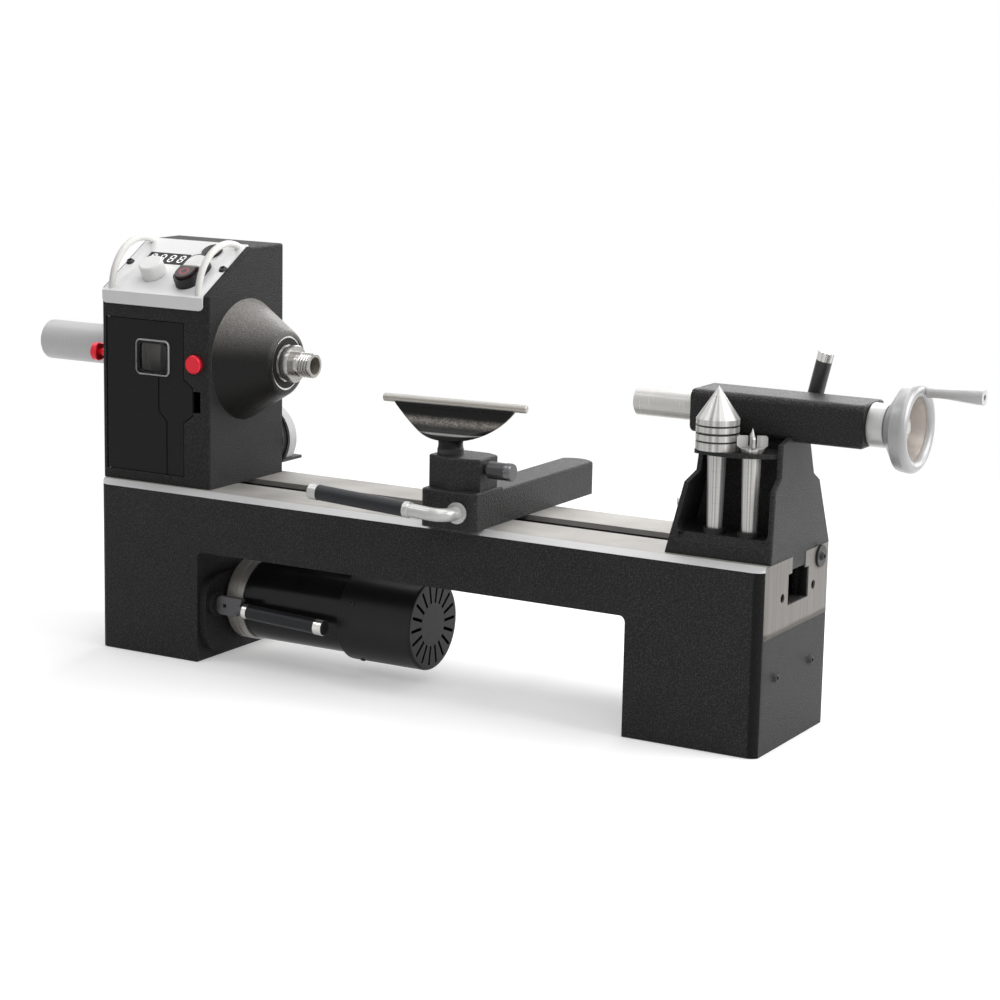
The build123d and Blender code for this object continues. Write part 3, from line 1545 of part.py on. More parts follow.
def cam_lever_solid(frame, front, journals, core, bend, grip):
    """Bent lever and its cam shaft.

    The frame's x axis points along the lever and its y axis along the shaft, out of the casting.
    """
    face = front + face_gap
    turn_start = face + cam_flange_thickness + elbow_stub
    reach = turn_start + bend
    rod_start = bend + lever_straight
    with BuildPart() as lever:
        with BuildLine(frame) as path:
            Line((0, face), (0, turn_start))
            RadiusArc((0, turn_start), (bend, reach), bend)
            Line((bend, reach), (rod_start + 1.0, reach))
        with BuildSketch(Plane(path.line @ 0, z_dir=path.line % 0)):
            Circle(lever_radius)
        sweep()
        shaft = Axis(frame.origin, frame.y_dir)
        with BuildSketch(frame):
            with Locations((cam_flange_radius / 2, face + cam_flange_thickness / 2)):
                Rectangle(cam_flange_radius, cam_flange_thickness)
            for start, end in journals:
                with Locations((cam_radius / 2, (start + end) / 2)):
                    Rectangle(cam_radius, abs(end - start))
        revolve(axis=shaft)
        low, high = core
        throw_plane = Plane(
            frame.from_local_coords((cam_throw, low, 0)), x_dir=frame.x_dir, z_dir=frame.y_dir
        )
        with BuildSketch(throw_plane):
            Circle(cam_core_radius)
        extrude(amount=high - low)
        rod_line = Plane(frame.from_local_coords((0, reach, 0)), x_dir=frame.x_dir, z_dir=frame.z_dir)
        with BuildSketch(rod_line):
            rod_profile(rod_start, grip)
        revolve(axis=Axis(rod_line.origin, frame.x_dir))
    sleeve = lever_grip(rod_line, rod_start + ferrule_length, grip)
    return lever, sleeve


rise = radians(lever_slope)
cam_frame = Plane((banjo_x, 0, cam_z), x_dir=(-cos(rise), 0, sin(rise)), z_dir=(sin(rise), 0, cos(rise)))
cam_lever, cam_lever_grip = cam_lever_solid(
    cam_frame,
    -base_front,
    ((-base_front + face_gap, -channel_front), (-channel_back, -channel_back - cam_tail)),
    (-channel_back, -channel_front),
    elbow_radius,
    grip_length,
)
cam_lever.part.label = "cam_lever"
export_step(cam_lever.part, "parts/cam_lever.step")
cam_lever_grip.part.label = "cam_lever_grip"
export_step(cam_lever_grip.part, "parts/cam_lever_grip.step")

# Tool post in the collar
with BuildPart() as tool_post:
    with BuildSketch(Plane.XY.offset(bed_height + post_bottom)):
        with Locations((post_x, post_y)):
            Circle(post_radius)
    extrude(amount=post_top - post_bottom)
    with BuildSketch(Plane.XY.offset(bed_height + post_top)):
        with Locations((post_x, post_y)):
            Circle(post_spigot_radius)
    extrude(amount=post_spigot_length)
tool_post.part.label = "tool_post"
export_step(tool_post.part, "parts/tool_post.step")

# Tool rest: scooped blade on a neck, with a round steel rod along its top edge
skew = radians(rest_turn)
rest_side = Plane((post_x, post_y, bed_height), x_dir=(-sin(skew), cos(skew), 0), z_dir=(cos(skew), sin(skew), 0))
rest_front = Plane((post_x, post_y, bed_height), x_dir=(cos(skew), sin(skew), 0), z_dir=(sin(skew), -cos(skew), 0))
blade_top = rod_rise - 1.0
blade_back = rod_back + blade_thickness / 2
blade_face = rod_back - blade_thickness / 2
blade_mid = (blade_top + blade_bottom_rise) / 2
neck_low = post_top + face_gap
with BuildPart() as tool_rest:
    with BuildSketch(rest_side):
        with BuildLine():
            Line((blade_face, blade_top), (blade_back, blade_top))
            ThreePointArc(
                (blade_back, blade_top),
                (blade_back - 3.5, blade_mid - 5.0),
                (blade_lip_front + 2.0, blade_bottom_rise - blade_thickness),
            )
            Line(
                (blade_lip_front + 2.0, blade_bottom_rise - blade_thickness),
                (blade_lip_front, blade_bottom_rise),
            )
            ThreePointArc(
                (blade_lip_front, blade_bottom_rise),
                (blade_face - 5.5, blade_mid - 5.0),
                (blade_face, blade_top),
            )
        make_face()
    extrude(amount=blade_top_half, both=True)
    with BuildSketch(rest_front):
        with BuildLine():
            for side in (-1, 1):
                ThreePointArc(
                    (side * blade_top_half, blade_top),
                    (side * blade_side_half, blade_side_rise),
                    (side * blade_bottom_half, blade_bottom_rise - blade_thickness),
                )
            Line((-blade_top_half, blade_top), (blade_top_half, blade_top))
            Line(
                (-blade_bottom_half, blade_bottom_rise - blade_thickness),
                (blade_bottom_half, blade_bottom_rise - blade_thickness),
            )
        make_face()
        fillet(vertices().sort_by(Axis.Y)[:2], blade_corner)
    extrude(amount=2 * blade_top_half, both=True, mode=Mode.INTERSECT)
    with BuildSketch(Plane.XY.offset(bed_height + neck_low)):
        with Locations((post_x, post_y)):
            Circle(neck_radius)
    extrude(amount=post_spigot_length + 3.0, taper=-4)
    with BuildSketch(Plane.XY.offset(bed_height + neck_low)):
        with Locations((post_x, post_y)):
            Circle(post_spigot_radius + running_fit)
    extrude(amount=post_spigot_length, mode=Mode.SUBTRACT)
    with BuildSketch(rest_side):
        with Locations((rod_back, rod_rise)):
            Circle(rod_radius + press_gap)
    extrude(amount=rod_length, both=True, mode=Mode.SUBTRACT)
tool_rest.part.label = "tool_rest"
export_step(tool_rest.part, "parts/tool_rest.step")

with BuildPart() as rest_rod:
    with BuildSketch(rest_side):
        with Locations((rod_back, rod_rise)):
            Circle(rod_radius)
    extrude(amount=rod_length / 2, both=True)
    chamfer(rest_rod.edges().filter_by(GeomType.CIRCLE), 0.6)
rest_rod.part.label = "rest_rod"
export_step(rest_rod.part, "parts/rest_rod.step")

# Knob that locks the post: screw through the collar wall, grip and fluted end
lock_tip = post_x + post_radius + face_gap
lock_out = arm_right + post_lock_neck
grip_out = lock_out + post_lock_grip
knob_out = grip_out + post_lock_end
post_lock_line = Plane((0, post_y, bed_height + post_lock_rise), x_dir=(1, 0, 0), z_dir=(0, -1, 0))
with BuildPart() as post_lock_knob:
    with BuildSketch(post_lock_line):
        Polygon(
            (lock_tip, 0),
            (lock_tip, post_lock_radius),
            (lock_out, post_lock_radius),
            (lock_out, post_lock_grip_radius),
            (grip_out, post_lock_grip_radius),
            (grip_out, post_lock_end_radius),
            (knob_out - 0.8, post_lock_end_radius),
            (knob_out, post_lock_end_radius - 0.8),
            (knob_out, 0),
            align=None,
        )
    revolve(axis=Axis(post_lock_line.origin, (1, 0, 0)))
    with BuildSketch(Plane.YZ.offset(knob_out)):
        with Locations((post_y, bed_height + post_lock_rise)):
            with PolarLocations(post_lock_end_radius, end_flutes):
                Circle(end_flute_radius)
    extrude(amount=-post_lock_end, mode=Mode.SUBTRACT)
post_lock_knob.part.label = "post_lock_knob"
export_step(post_lock_knob.part, "parts/post_lock_knob.step")

# Tailstock casting: stepped pedestal, square barrel, open pocket with a shelf for two centres
ts_right = bed_right - ts_end_gap
ts_left = ts_right - ts_base_length
shoulder_z = bed_height + ts_shoulder_z
waist_z = bed_height + ts_waist_z
barrel_low = spindle_z - barrel_half_height
barrel_left = ts_right + barrel_overhang - barrel_length
barrel_right = barrel_left + barrel_length
live_axis_x = ts_right - live_x
spur_axis_x = ts_right - spur_x
floor_z = bed_height + pocket_floor
shelf_top_z = bed_height + shelf_z
cup_top = floor_z + cup_height
tail_cam_axis_x = ts_right - tail_cam_x
flange_low = cam_rise - cam_flange_radius
ts_back_slant = (ts_back_mid - ts_back_base) / ts_back_mid_z
tail_back = ts_back_base + ts_back_slant * flange_low
back_mid_z = bed_height + ts_back_mid_z
lock_axis_x = barrel_right - lock_lever_x
ts_front_outline = (
    (ts_left, bed_height),
    (ts_left + ts_shoulder_inset, shoulder_z),
    (ts_left + ts_waist_inset, waist_z),
    (ts_left + ts_top_inset, barrel_low),
    (ts_right, barrel_low),
    (ts_right, bed_height),
)
ts_pocket_outline = (
    (ts_left + ts_wall + ts_shoulder_inset * pocket_floor / ts_shoulder_z, floor_z),
    (ts_left + ts_shoulder_inset + ts_wall, shoulder_z),
    (ts_left + ts_waist_inset + ts_wall, waist_z),
    (ts_left + ts_top_inset + ts_wall, barrel_low),
    (ts_right - ts_wall, barrel_low),
    (ts_right - ts_wall, floor_z),
)
apron_left = ts_pocket_outline[0][0] + pocket_corner / 2
apron_right = ts_right - ts_wall - pocket_corner / 2
ts_side_outline = (
    (-ts_base_half, bed_height),
    (-ts_shoulder_half, shoulder_z),
    (-ts_waist_half, waist_z),
    (-ts_top_half, barrel_low),
    (ts_back_top, barrel_low),
    (ts_back_waist, bed_height + ts_back_waist_z),
    (ts_back_mid, back_mid_z),
    (ts_back_base, bed_height),
)
with BuildPart() as barrel:
    with BuildSketch(Plane.YZ.offset(barrel_left)):
        with Locations((0, spindle_z)):
            RectangleRounded(2 * barrel_half, 2 * barrel_half_height, barrel_round)
    extrude(amount=barrel_length)
    barrel_ends = barrel.faces().sort_by(Axis.X)
    fillet(barrel_ends[0].edges() + barrel_ends[-1].edges(), barrel_edge)

with BuildPart() as tailstock:
    with BuildSketch(Plane.YZ.offset(ts_left)):
        Polygon(*ts_side_outline, align=None)
    extrude(amount=ts_base_length)
    with BuildSketch(Plane.XZ):
        Polygon(*ts_front_outline, align=None)
    extrude(amount=ts_base_half + ts_back_base, both=True, mode=Mode.INTERSECT)
    steep = [edge for edge in tailstock.edges() if abs((edge @ 1 - edge @ 0).Z) > edge.length / 2]
    fillet([edge for edge in steep if edge.center().X > ts_right - 1.0 and edge.center().Y < 0], ts_edge)
    with BuildSketch(Plane.XZ.offset(ts_base_half)):
        Polygon(*ts_pocket_outline, align=None)
        fillet(vertices().group_by(Axis.Y)[0], pocket_corner)
    extrude(amount=-(ts_base_half + pocket_back), mode=Mode.SUBTRACT)
    with BuildSketch(Plane.YZ.offset(apron_left)):
        Polygon(
            (-ts_base_half, bed_height + apron_foot),
            (-ts_base_half + pocket_apron, floor_z),
            (-ts_base_half, floor_z),
            align=None,
        )
    extrude(amount=apron_right - apron_left, mode=Mode.SUBTRACT)
    with BuildSketch(Plane.YZ.offset(ts_right - ts_wall)):
        Polygon(
            (-ts_top_half, barrel_low),
            (-barrel_half, barrel_low + ts_gusset_rise),
            (-barrel_half + ts_wall, barrel_low),
            align=None,
        )
    extrude(amount=ts_wall)
    with BuildSketch(Plane.YZ.offset(ts_left + ts_top_inset + ts_cavity_wall)):
        Polygon(
            (ts_cavity_front, bed_height),
            (ts_cavity_front, back_mid_z),
            (ts_back_mid - ts_cavity_wall, back_mid_z),
            (ts_back_base - ts_cavity_wall, bed_height),
            align=None,
        )
    extrude(amount=ts_base_length - ts_top_inset - 2 * ts_cavity_wall, mode=Mode.SUBTRACT)
    with BuildSketch(Plane.XY.offset(shelf_top_z)):
        with BuildLine():
            Polyline(
                (ts_left + ts_top_inset, shelf_front),
                (ts_left + ts_top_inset, pocket_back),
                (ts_right - ts_wall / 2, pocket_back),
                (ts_right - ts_wall / 2, shelf_right_front),
            )
            ThreePointArc(
                (ts_right - ts_wall / 2, shelf_right_front),
                (spur_axis_x + 4.0, shelf_front),
                (ts_left + ts_top_inset, shelf_front),
            )
        make_face()
    extrude(amount=-shelf_plate)
    with BuildSketch(Plane.XY.offset(shelf_top_z)):
        with Locations(((ts_left + live_axis_x) / 2, -barrel_half - ts_base_half / 2)):
            Rectangle(live_axis_x - ts_left, ts_base_half)
    extrude(amount=barrel_low - shelf_top_z, mode=Mode.SUBTRACT)
    with BuildSketch(Plane.XY.offset(floor_z)):
        with Locations((live_axis_x, centre_y), (spur_axis_x, centre_y)):
            Circle(cup_radius)
    extrude(amount=cup_height)
    with BuildSketch(Plane.XY.offset(cup_top)):
        with Locations((live_axis_x, centre_y), (spur_axis_x, centre_y)):
            Circle(cup_bore_radius)
    extrude(amount=-cup_floor, mode=Mode.SUBTRACT)
    with BuildSketch(Plane.XY.offset(shelf_top_z)):
        with Locations((live_axis_x, centre_y), (spur_axis_x, centre_y)):
            Circle(taper_radius + face_gap)
    extrude(amount=-shelf_plate, mode=Mode.SUBTRACT)
    add(barrel.part)
    with BuildSketch(Plane.XY.offset(bed_height - ts_tongue_depth)):
        with Locations(((ts_left + ts_right) / 2, 0)):
            Rectangle(ts_base_length, way_gap - 2 * ts_tongue_gap)
            Rectangle(2 * (stud_radius + 3.0) + tongue_window, way_gap, mode=Mode.SUBTRACT)
    extrude(amount=ts_tongue_depth)
    with BuildSketch(Plane.YZ.offset(barrel_left)):
        with Locations((0, spindle_z)):
            Circle(quill_radius + running_fit)
    extrude(amount=barrel_length - barrel_end_wall, mode=Mode.SUBTRACT)
    with BuildSketch(Plane.YZ.offset(barrel_left)):
        with Locations((0, spindle_z)):
            Circle(screw_shaft_radius + running_fit)
    extrude(amount=barrel_length, mode=Mode.SUBTRACT)
    with BuildSketch(Plane.XZ.offset(barrel_half)):
        with Locations((barrel_left + barrel_screw_inset, spindle_z)):
            Circle(screw_radius)
    extrude(amount=-barrel_screw_depth, mode=Mode.SUBTRACT)
    with BuildSketch(Plane.XZ.offset(-barrel_half)):
        with Locations((lock_axis_x, spindle_z)):
            Circle(lock_stud_radius + running_fit)
    extrude(amount=barrel_half - quill_radius, mode=Mode.SUBTRACT)
    with BuildSketch(Plane.XZ.offset(-tail_cam_front)):
        with Locations((tail_cam_axis_x, cam_z)):
            Circle(cam_radius + running_fit)
    extrude(amount=-(ts_back_base - tail_cam_front), mode=Mode.SUBTRACT)
tailstock.part.label = "tailstock"
export_step(tailstock.part, "parts/tailstock.step")

# Clamp plate and eye bolt under the tailstock
tail_plate = clamp_plate(tail_cam_axis_x)
tail_bolt = eye_bolt(tail_cam_axis_x)
with BuildPart() as tail_clamp:
    add(tail_plate.part)
    add(tail_bolt.part)
tail_clamp.part.label = "tail_clamp"
export_step(tail_clamp.part, "parts/tail_clamp.step")

# Tailstock lever at the back, a shorter lever of the same make
tail_frame = Plane((tail_cam_axis_x, 0, cam_z), x_dir=(-1, 0, 0), z_dir=(0, 0, -1))
tail_core_back = ts_back_base - ts_cavity_wall + ts_back_slant * (cam_rise + cam_radius)
tail_lever, tail_sleeve = cam_lever_solid(
    tail_frame,
    tail_back,
    ((tail_core_back, tail_back + face_gap),),
    (tail_cam_front + face_gap, tail_core_back),
    tail_elbow_radius,
    tail_grip_length,
)
with BuildPart() as tailstock_lever:
    add(tail_lever.part)
    add(tail_sleeve.part)
tailstock_lever.part.label = "tailstock_lever"
export_step(tailstock_lever.part, "parts/tailstock_lever.step")

# Quill: polished sleeve with a taper mouth and a nut at its back end
quill_left = barrel_left - quill_reach
quill_right = quill_left + quill_length
with BuildPart() as quill:
    with BuildSketch(spindle_line):
        Polygon(
            (quill_left, taper_at(0)),
            (quill_left, quill_radius - quill_edge),
            (quill_left + quill_edge, quill_radius),
            (quill_right, quill_radius),
            (quill_right, screw_shaft_radius + running_fit),
            (quill_right - quill_nut_length, screw_shaft_radius + running_fit),
            (quill_right - quill_nut_length, quill_hollow_radius),
            (quill_left + taper_length + 4.0, quill_hollow_radius),
            (quill_left + taper_length, taper_at(taper_length)),
            align=None,
        )
    revolve(axis=spindle_axis)
quill.part.label = "quill"
export_step(quill.part, "parts/quill.step")

# Bright bearing ring at the barrel's back end
ring_right = barrel_right + cap_ring_length
with BuildPart() as screw_collar:
    with BuildSketch(Plane.YZ.offset(barrel_right)):
        with Locations((0, spindle_z)):
            Circle(cap_ring_radius)
            Circle(screw_shaft_radius + running_fit, mode=Mode.SUBTRACT)
    extrude(amount=cap_ring_length)
    chamfer(screw_collar.edges().filter_by(GeomType.CIRCLE).sort_by(SortBy.RADIUS)[-2:], 0.6)
screw_collar.part.label = "screw_collar"
export_step(screw_collar.part, "parts/screw_collar.step")

# Feed screw, turned by the handwheel
hub_left = ring_right + face_gap
wheel_face = hub_left + wheel_depth
screw_left = barrel_right - screw_back
screw_right = hub_left + screw_nose
with BuildPart() as quill_screw:
    with BuildSketch(spindle_line):
        Polygon(
            (screw_left, 0),
            (screw_left, screw_shaft_radius - 1.0),
            (screw_left + 1.0, screw_shaft_radius),
            (hub_left, screw_shaft_radius),
            (hub_left, screw_seat_radius),
            (screw_right, screw_seat_radius),
            (screw_right, 0),
            align=None,
        )
    revolve(axis=spindle_axis)
quill_screw.part.label = "quill_screw"
export_step(quill_screw.part, "parts/quill_screw.step")

# Tailstock handwheel: dished wheel with a thick round rim
crank_turn = radians(crank_angle)
crank_y = crank_circle * sin(crank_turn)
crank_z = spindle_z + crank_circle * cos(crank_turn)
rim_middle = wheel_face - wheel_rim_radius
rim_circle = wheel_radius - wheel_rim_radius
dish_floor = hub_left + wheel_web + 4.0
with BuildPart() as tail_handwheel:
    with BuildSketch(spindle_line):
        with BuildLine():
            Polyline(
                (dish_floor + wheel_boss_height, screw_seat_radius + press_gap),
                (hub_left, screw_seat_radius + press_gap),
                (hub_left, wheel_hub_radius),
                (rim_middle - wheel_rim_radius * 1.6, wheel_radius - 1.5),
            )
            TangentArc(
                (rim_middle - wheel_rim_radius * 1.6, wheel_radius - 1.5),
                (rim_middle, wheel_radius),
                tangent=(1, 0.25),
            )
            ThreePointArc(
                (rim_middle, wheel_radius),
                (rim_middle + wheel_rim_radius, rim_circle),
                (rim_middle, rim_circle - wheel_rim_radius),
            )
            Polyline(
                (rim_middle, rim_circle - wheel_rim_radius),
                (dish_floor, wheel_hub_radius + 4.0),
                (dish_floor, wheel_boss_radius),
                (dish_floor + wheel_boss_height, wheel_boss_radius),
                (dish_floor + wheel_boss_height, screw_seat_radius + press_gap),
            )
        make_face()
    revolve(axis=spindle_axis)
    with BuildSketch(Plane.YZ.offset(wheel_face)):
        with Locations((crank_y, crank_z)):
            Circle(crank_spigot_radius + running_fit)
    extrude(amount=-crank_spigot_length - 1.0, mode=Mode.SUBTRACT)
tail_handwheel.part.label = "tail_handwheel"
export_step(tail_handwheel.part, "parts/tail_handwheel.step")

# Crank handle: waisted grip that spins on its spigot
crank_line = Plane((0, crank_y, crank_z), x_dir=(1, 0, 0), z_dir=(0, -1, 0))
crank_left = wheel_face + face_gap
crank_right = crank_left + crank_length
with BuildPart() as crank_handle:
    with BuildSketch(crank_line):
        with BuildLine():
            Polyline(
                (crank_right - crank_hole_depth, 0),
                (wheel_face - crank_spigot_length, 0),
                (wheel_face - crank_spigot_length, crank_spigot_radius),
                (crank_left, crank_spigot_radius),
                (crank_left, crank_root_radius),
            )
            Spline(
                (crank_left, crank_root_radius),
                (crank_left + crank_length * 0.35, crank_waist_radius + 0.3),
                (crank_left + crank_length * 0.8, crank_end_radius - 0.4),
                (crank_right, crank_end_radius),
            )
            Polyline(
                (crank_right, crank_end_radius),
                (crank_right, crank_hole_radius),
                (crank_right - crank_hole_depth, crank_hole_radius),
                (crank_right - crank_hole_depth, 0),
            )
        make_face()
    revolve(axis=Axis(crank_line.origin, (1, 0, 0)))
crank_handle.part.label = "crank_handle"
export_step(crank_handle.part, "parts/crank_handle.step")

# Quill lock lever behind the barrel, leaning a little to the right
lean_x = sin(radians(lock_lever_lean))
lean_z = cos(radians(lock_lever_lean))
lock_pivot = (lock_axis_x, lock_lever_y, spindle_z)
lock_frame = Plane(lock_pivot, x_dir=(lean_x, 0, lean_z), z_dir=(0, -1, 0))
lock_grip_end = lock_grip_start + lock_grip_length
lock_end = lock_grip_end + lock_end_length
with BuildPart() as quill_lock_lever:
    with BuildSketch(Plane.XZ.offset(-barrel_half - face_gap)):
        with Locations((lock_axis_x, spindle_z)):
            Circle(lock_hub_radius)
    extrude(amount=-(2 * (lock_lever_y - barrel_half - face_gap)))
    with BuildSketch(Plane.XZ.offset(-barrel_half - face_gap)):
        with Locations((lock_axis_x, spindle_z)):
            Circle(lock_stud_radius)
    extrude(amount=barrel_half + face_gap - quill_radius - lock_stud_gap)
    with BuildSketch(lock_frame):
        Polygon(
            (0, 0),
            (0, lock_rod_radius),
            (lock_grip_start, lock_rod_radius),
            (lock_grip_start, grip_radius),
            (lock_grip_end, grip_radius),
            (lock_end - 0.8, grip_radius + 0.2),
            (lock_end, grip_radius - 0.6),
            (lock_end, 0),
            align=None,
        )
    revolve(axis=Axis(lock_pivot, lock_frame.x_dir))
    with BuildSketch(Plane(lock_frame.from_local_coords((lock_end, 0, 0)), (0, 1, 0), lock_frame.x_dir)):
        with PolarLocations(grip_radius + 0.2, end_flutes):
            Circle(end_flute_radius)
    extrude(amount=-lock_end_length, mode=Mode.SUBTRACT)
quill_lock_lever.part.label = "quill_lock_lever"
export_step(quill_lock_lever.part, "parts/quill_lock_lever.step")

# Live centre stored in the shelf: taper shank with its bearing housing, and the free cone
centre_low = cup_top - cup_floor + 1.0
shank_top = shelf_top_z - 1.0
live_line = Plane((live_axis_x, centre_y, 0), x_dir=(1, 0, 0), z_dir=(0, -1, 0))
live_axis = Axis((live_axis_x, centre_y, 0), (0, 0, 1))
housing_top = shelf_top_z + live_housing_height
axle_low = housing_top - live_axle_length
with BuildPart() as live_centre_shank:
    with BuildSketch(live_line):
        Polygon(
            (0, centre_low),
            (taper_at(shank_top - centre_low), centre_low),
            (taper_at(0), shank_top),
            (taper_at(0), shelf_top_z),
            (live_radius, shelf_top_z),
            (live_radius, housing_top - live_groove),
            (live_radius - live_groove_depth, housing_top - live_groove),
            (live_radius - live_groove_depth, housing_top),
            (live_axle_radius + running_fit, housing_top),
            (live_axle_radius + running_fit, axle_low),
            (0, axle_low),
            align=None,
        )
        with Locations((live_radius, (shelf_top_z + housing_top) / 2)):
            Rectangle(2 * live_groove_depth, live_groove, mode=Mode.SUBTRACT)
    revolve(axis=live_axis)
live_centre_shank.part.label = "live_centre_shank"
export_step(live_centre_shank.part, "parts/live_centre_shank.step")

cone_low = housing_top + live_gap
cone_base = cone_low + live_rim_height
with BuildPart() as live_centre_cone:
    with BuildSketch(live_line):
        Polygon(
            (0, axle_low + face_gap),
            (live_axle_radius, axle_low + face_gap),
            (live_axle_radius, cone_low),
            (live_radius, cone_low),
            (live_radius, cone_base),
            (0, cone_base + live_cone_height),
            align=None,
        )
        with Locations((live_radius, (cone_low + cone_base) / 2)):
            Rectangle(2 * live_groove_depth, live_groove, mode=Mode.SUBTRACT)
    revolve(axis=live_axis)
live_centre_cone.part.label = "live_centre_cone"
export_step(live_centre_cone.part, "parts/live_centre_cone.step")

# Spur centre stored beside it: taper shank, neck, four wings and a point
spur_line = Plane((spur_axis_x, centre_y, 0), x_dir=(1, 0, 0), z_dir=(0, -1, 0))
neck_top = shelf_top_z + spur_neck_height
wing_top = neck_top + spur_wing_height
spur_axis = Axis((spur_axis_x, centre_y, 0), (0, 0, 1))
with BuildPart() as spur_head:
    with BuildSketch(spur_line):
        Polygon(
            (0, neck_top - 1.0),
            (spur_neck_radius - 1.0, neck_top - 1.0),
            (spur_wing_radius, neck_top + spur_wing_slant),
            (spur_wing_radius, wing_top - spur_wing_edge),
            (spur_wing_radius - spur_wing_edge, wing_top),
            (0, wing_top),
            align=None,
        )
    revolve(axis=spur_axis)
    with BuildSketch(Plane.XY.offset(neck_top - 1.0)):
        with Locations((spur_axis_x, centre_y)):
            with PolarLocations(spur_wing_radius / 2, spur_wings, start_angle=spur_turn):
                Rectangle(spur_wing_radius, spur_wing_thickness)
            Circle(spur_tip_radius + 1.6, mode=Mode.SUBTRACT)
            Circle(spur_tip_radius - 1.0)
    extrude(amount=spur_wing_height + 1.0, mode=Mode.INTERSECT)

with BuildPart() as spur_centre:
    with BuildSketch(spur_line):
        Polygon(
            (0, centre_low),
            (taper_at(shank_top - centre_low), centre_low),
            (taper_at(0), shank_top),
            (taper_at(0), shelf_top_z),
            (spur_root_radius, shelf_top_z),
            (spur_neck_radius, neck_top),
            (spur_tip_radius, neck_top),
            (spur_tip_radius, wing_top - 1.0),
            (0, wing_top + spur_tip_height),
            align=None,
        )
    revolve(axis=spur_axis)
    add(spur_head.part)
spur_centre.part.label = "spur_centre"
export_step(spur_centre.part, "parts/spur_centre.step")
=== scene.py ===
# %% [markdown]
# # Dressing a benchtop wood lathe
# The solids of the lathe come from its CAD source, and they are already in the right place.
# This notebook gives them paint, ground iron, turned steel and plastic, and adds the few shapes
# that are too fine for the solids: a screw thread, a hollow tool rest, display digits, small screws.
# Everything is in metres: +X runs from headstock to tailstock, +Y to the back, +Z up.

# %% Load the frame
import math

import bpy
import numpy as np
from mathutils import Matrix


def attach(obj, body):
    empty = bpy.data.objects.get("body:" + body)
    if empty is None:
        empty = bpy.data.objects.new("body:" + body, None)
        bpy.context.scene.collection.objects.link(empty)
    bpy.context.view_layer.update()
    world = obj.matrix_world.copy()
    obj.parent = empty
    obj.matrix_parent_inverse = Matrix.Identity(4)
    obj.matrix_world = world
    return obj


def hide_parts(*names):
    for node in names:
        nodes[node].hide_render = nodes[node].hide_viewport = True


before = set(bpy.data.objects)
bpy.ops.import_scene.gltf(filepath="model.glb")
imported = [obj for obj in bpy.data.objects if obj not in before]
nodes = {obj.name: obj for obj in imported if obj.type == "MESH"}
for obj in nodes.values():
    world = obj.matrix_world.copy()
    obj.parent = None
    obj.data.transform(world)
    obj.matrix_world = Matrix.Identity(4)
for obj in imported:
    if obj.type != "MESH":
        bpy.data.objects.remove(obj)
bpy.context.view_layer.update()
MM = 0.001
SPINDLE_Z = 0.304  # the spindle, quill and tail handwheel share one axis at this height

# %% [markdown]
# ## Shader arithmetic
# A finish is a small calculation: where am I on the piece, is this the ground part or the painted
# part, how rough is it here. Blender draws that as a web of nodes. Writing it as Python sums is
# easier to read, so one class wraps a socket and turns + - * / into Math nodes, and one method
# makes every other node.


# %% Sockets that add up
class Reading:
    """One output socket of a finish; arithmetic on it adds Math nodes to the same finish."""

    def __init__(self, finish, socket):
        self.finish = finish
        self.socket = socket

    def sum(self, operation, first, second=0.0):
        return self.finish.add("ShaderNodeMath", {"operation": operation}, {0: first, 1: second})

    def __add__(self, other):
        return self.sum("ADD", self, other)

    def __sub__(self, other):
        return self.sum("SUBTRACT", self, other)

    def __rsub__(self, other):
        return self.sum("SUBTRACT", other, self)

    def __mul__(self, other):
        return self.sum("MULTIPLY", self, other)

    def __truediv__(self, other):
        return self.sum("DIVIDE", self, other)

    def __pow__(self, other):
        return self.sum("POWER", self, other)

    def __gt__(self, other):
        return self.sum("GREATER_THAN", self, other)

    def __lt__(self, other):
        return self.sum("LESS_THAN", self, other)

    def __abs__(self):
        return self.sum("ABSOLUTE", self)


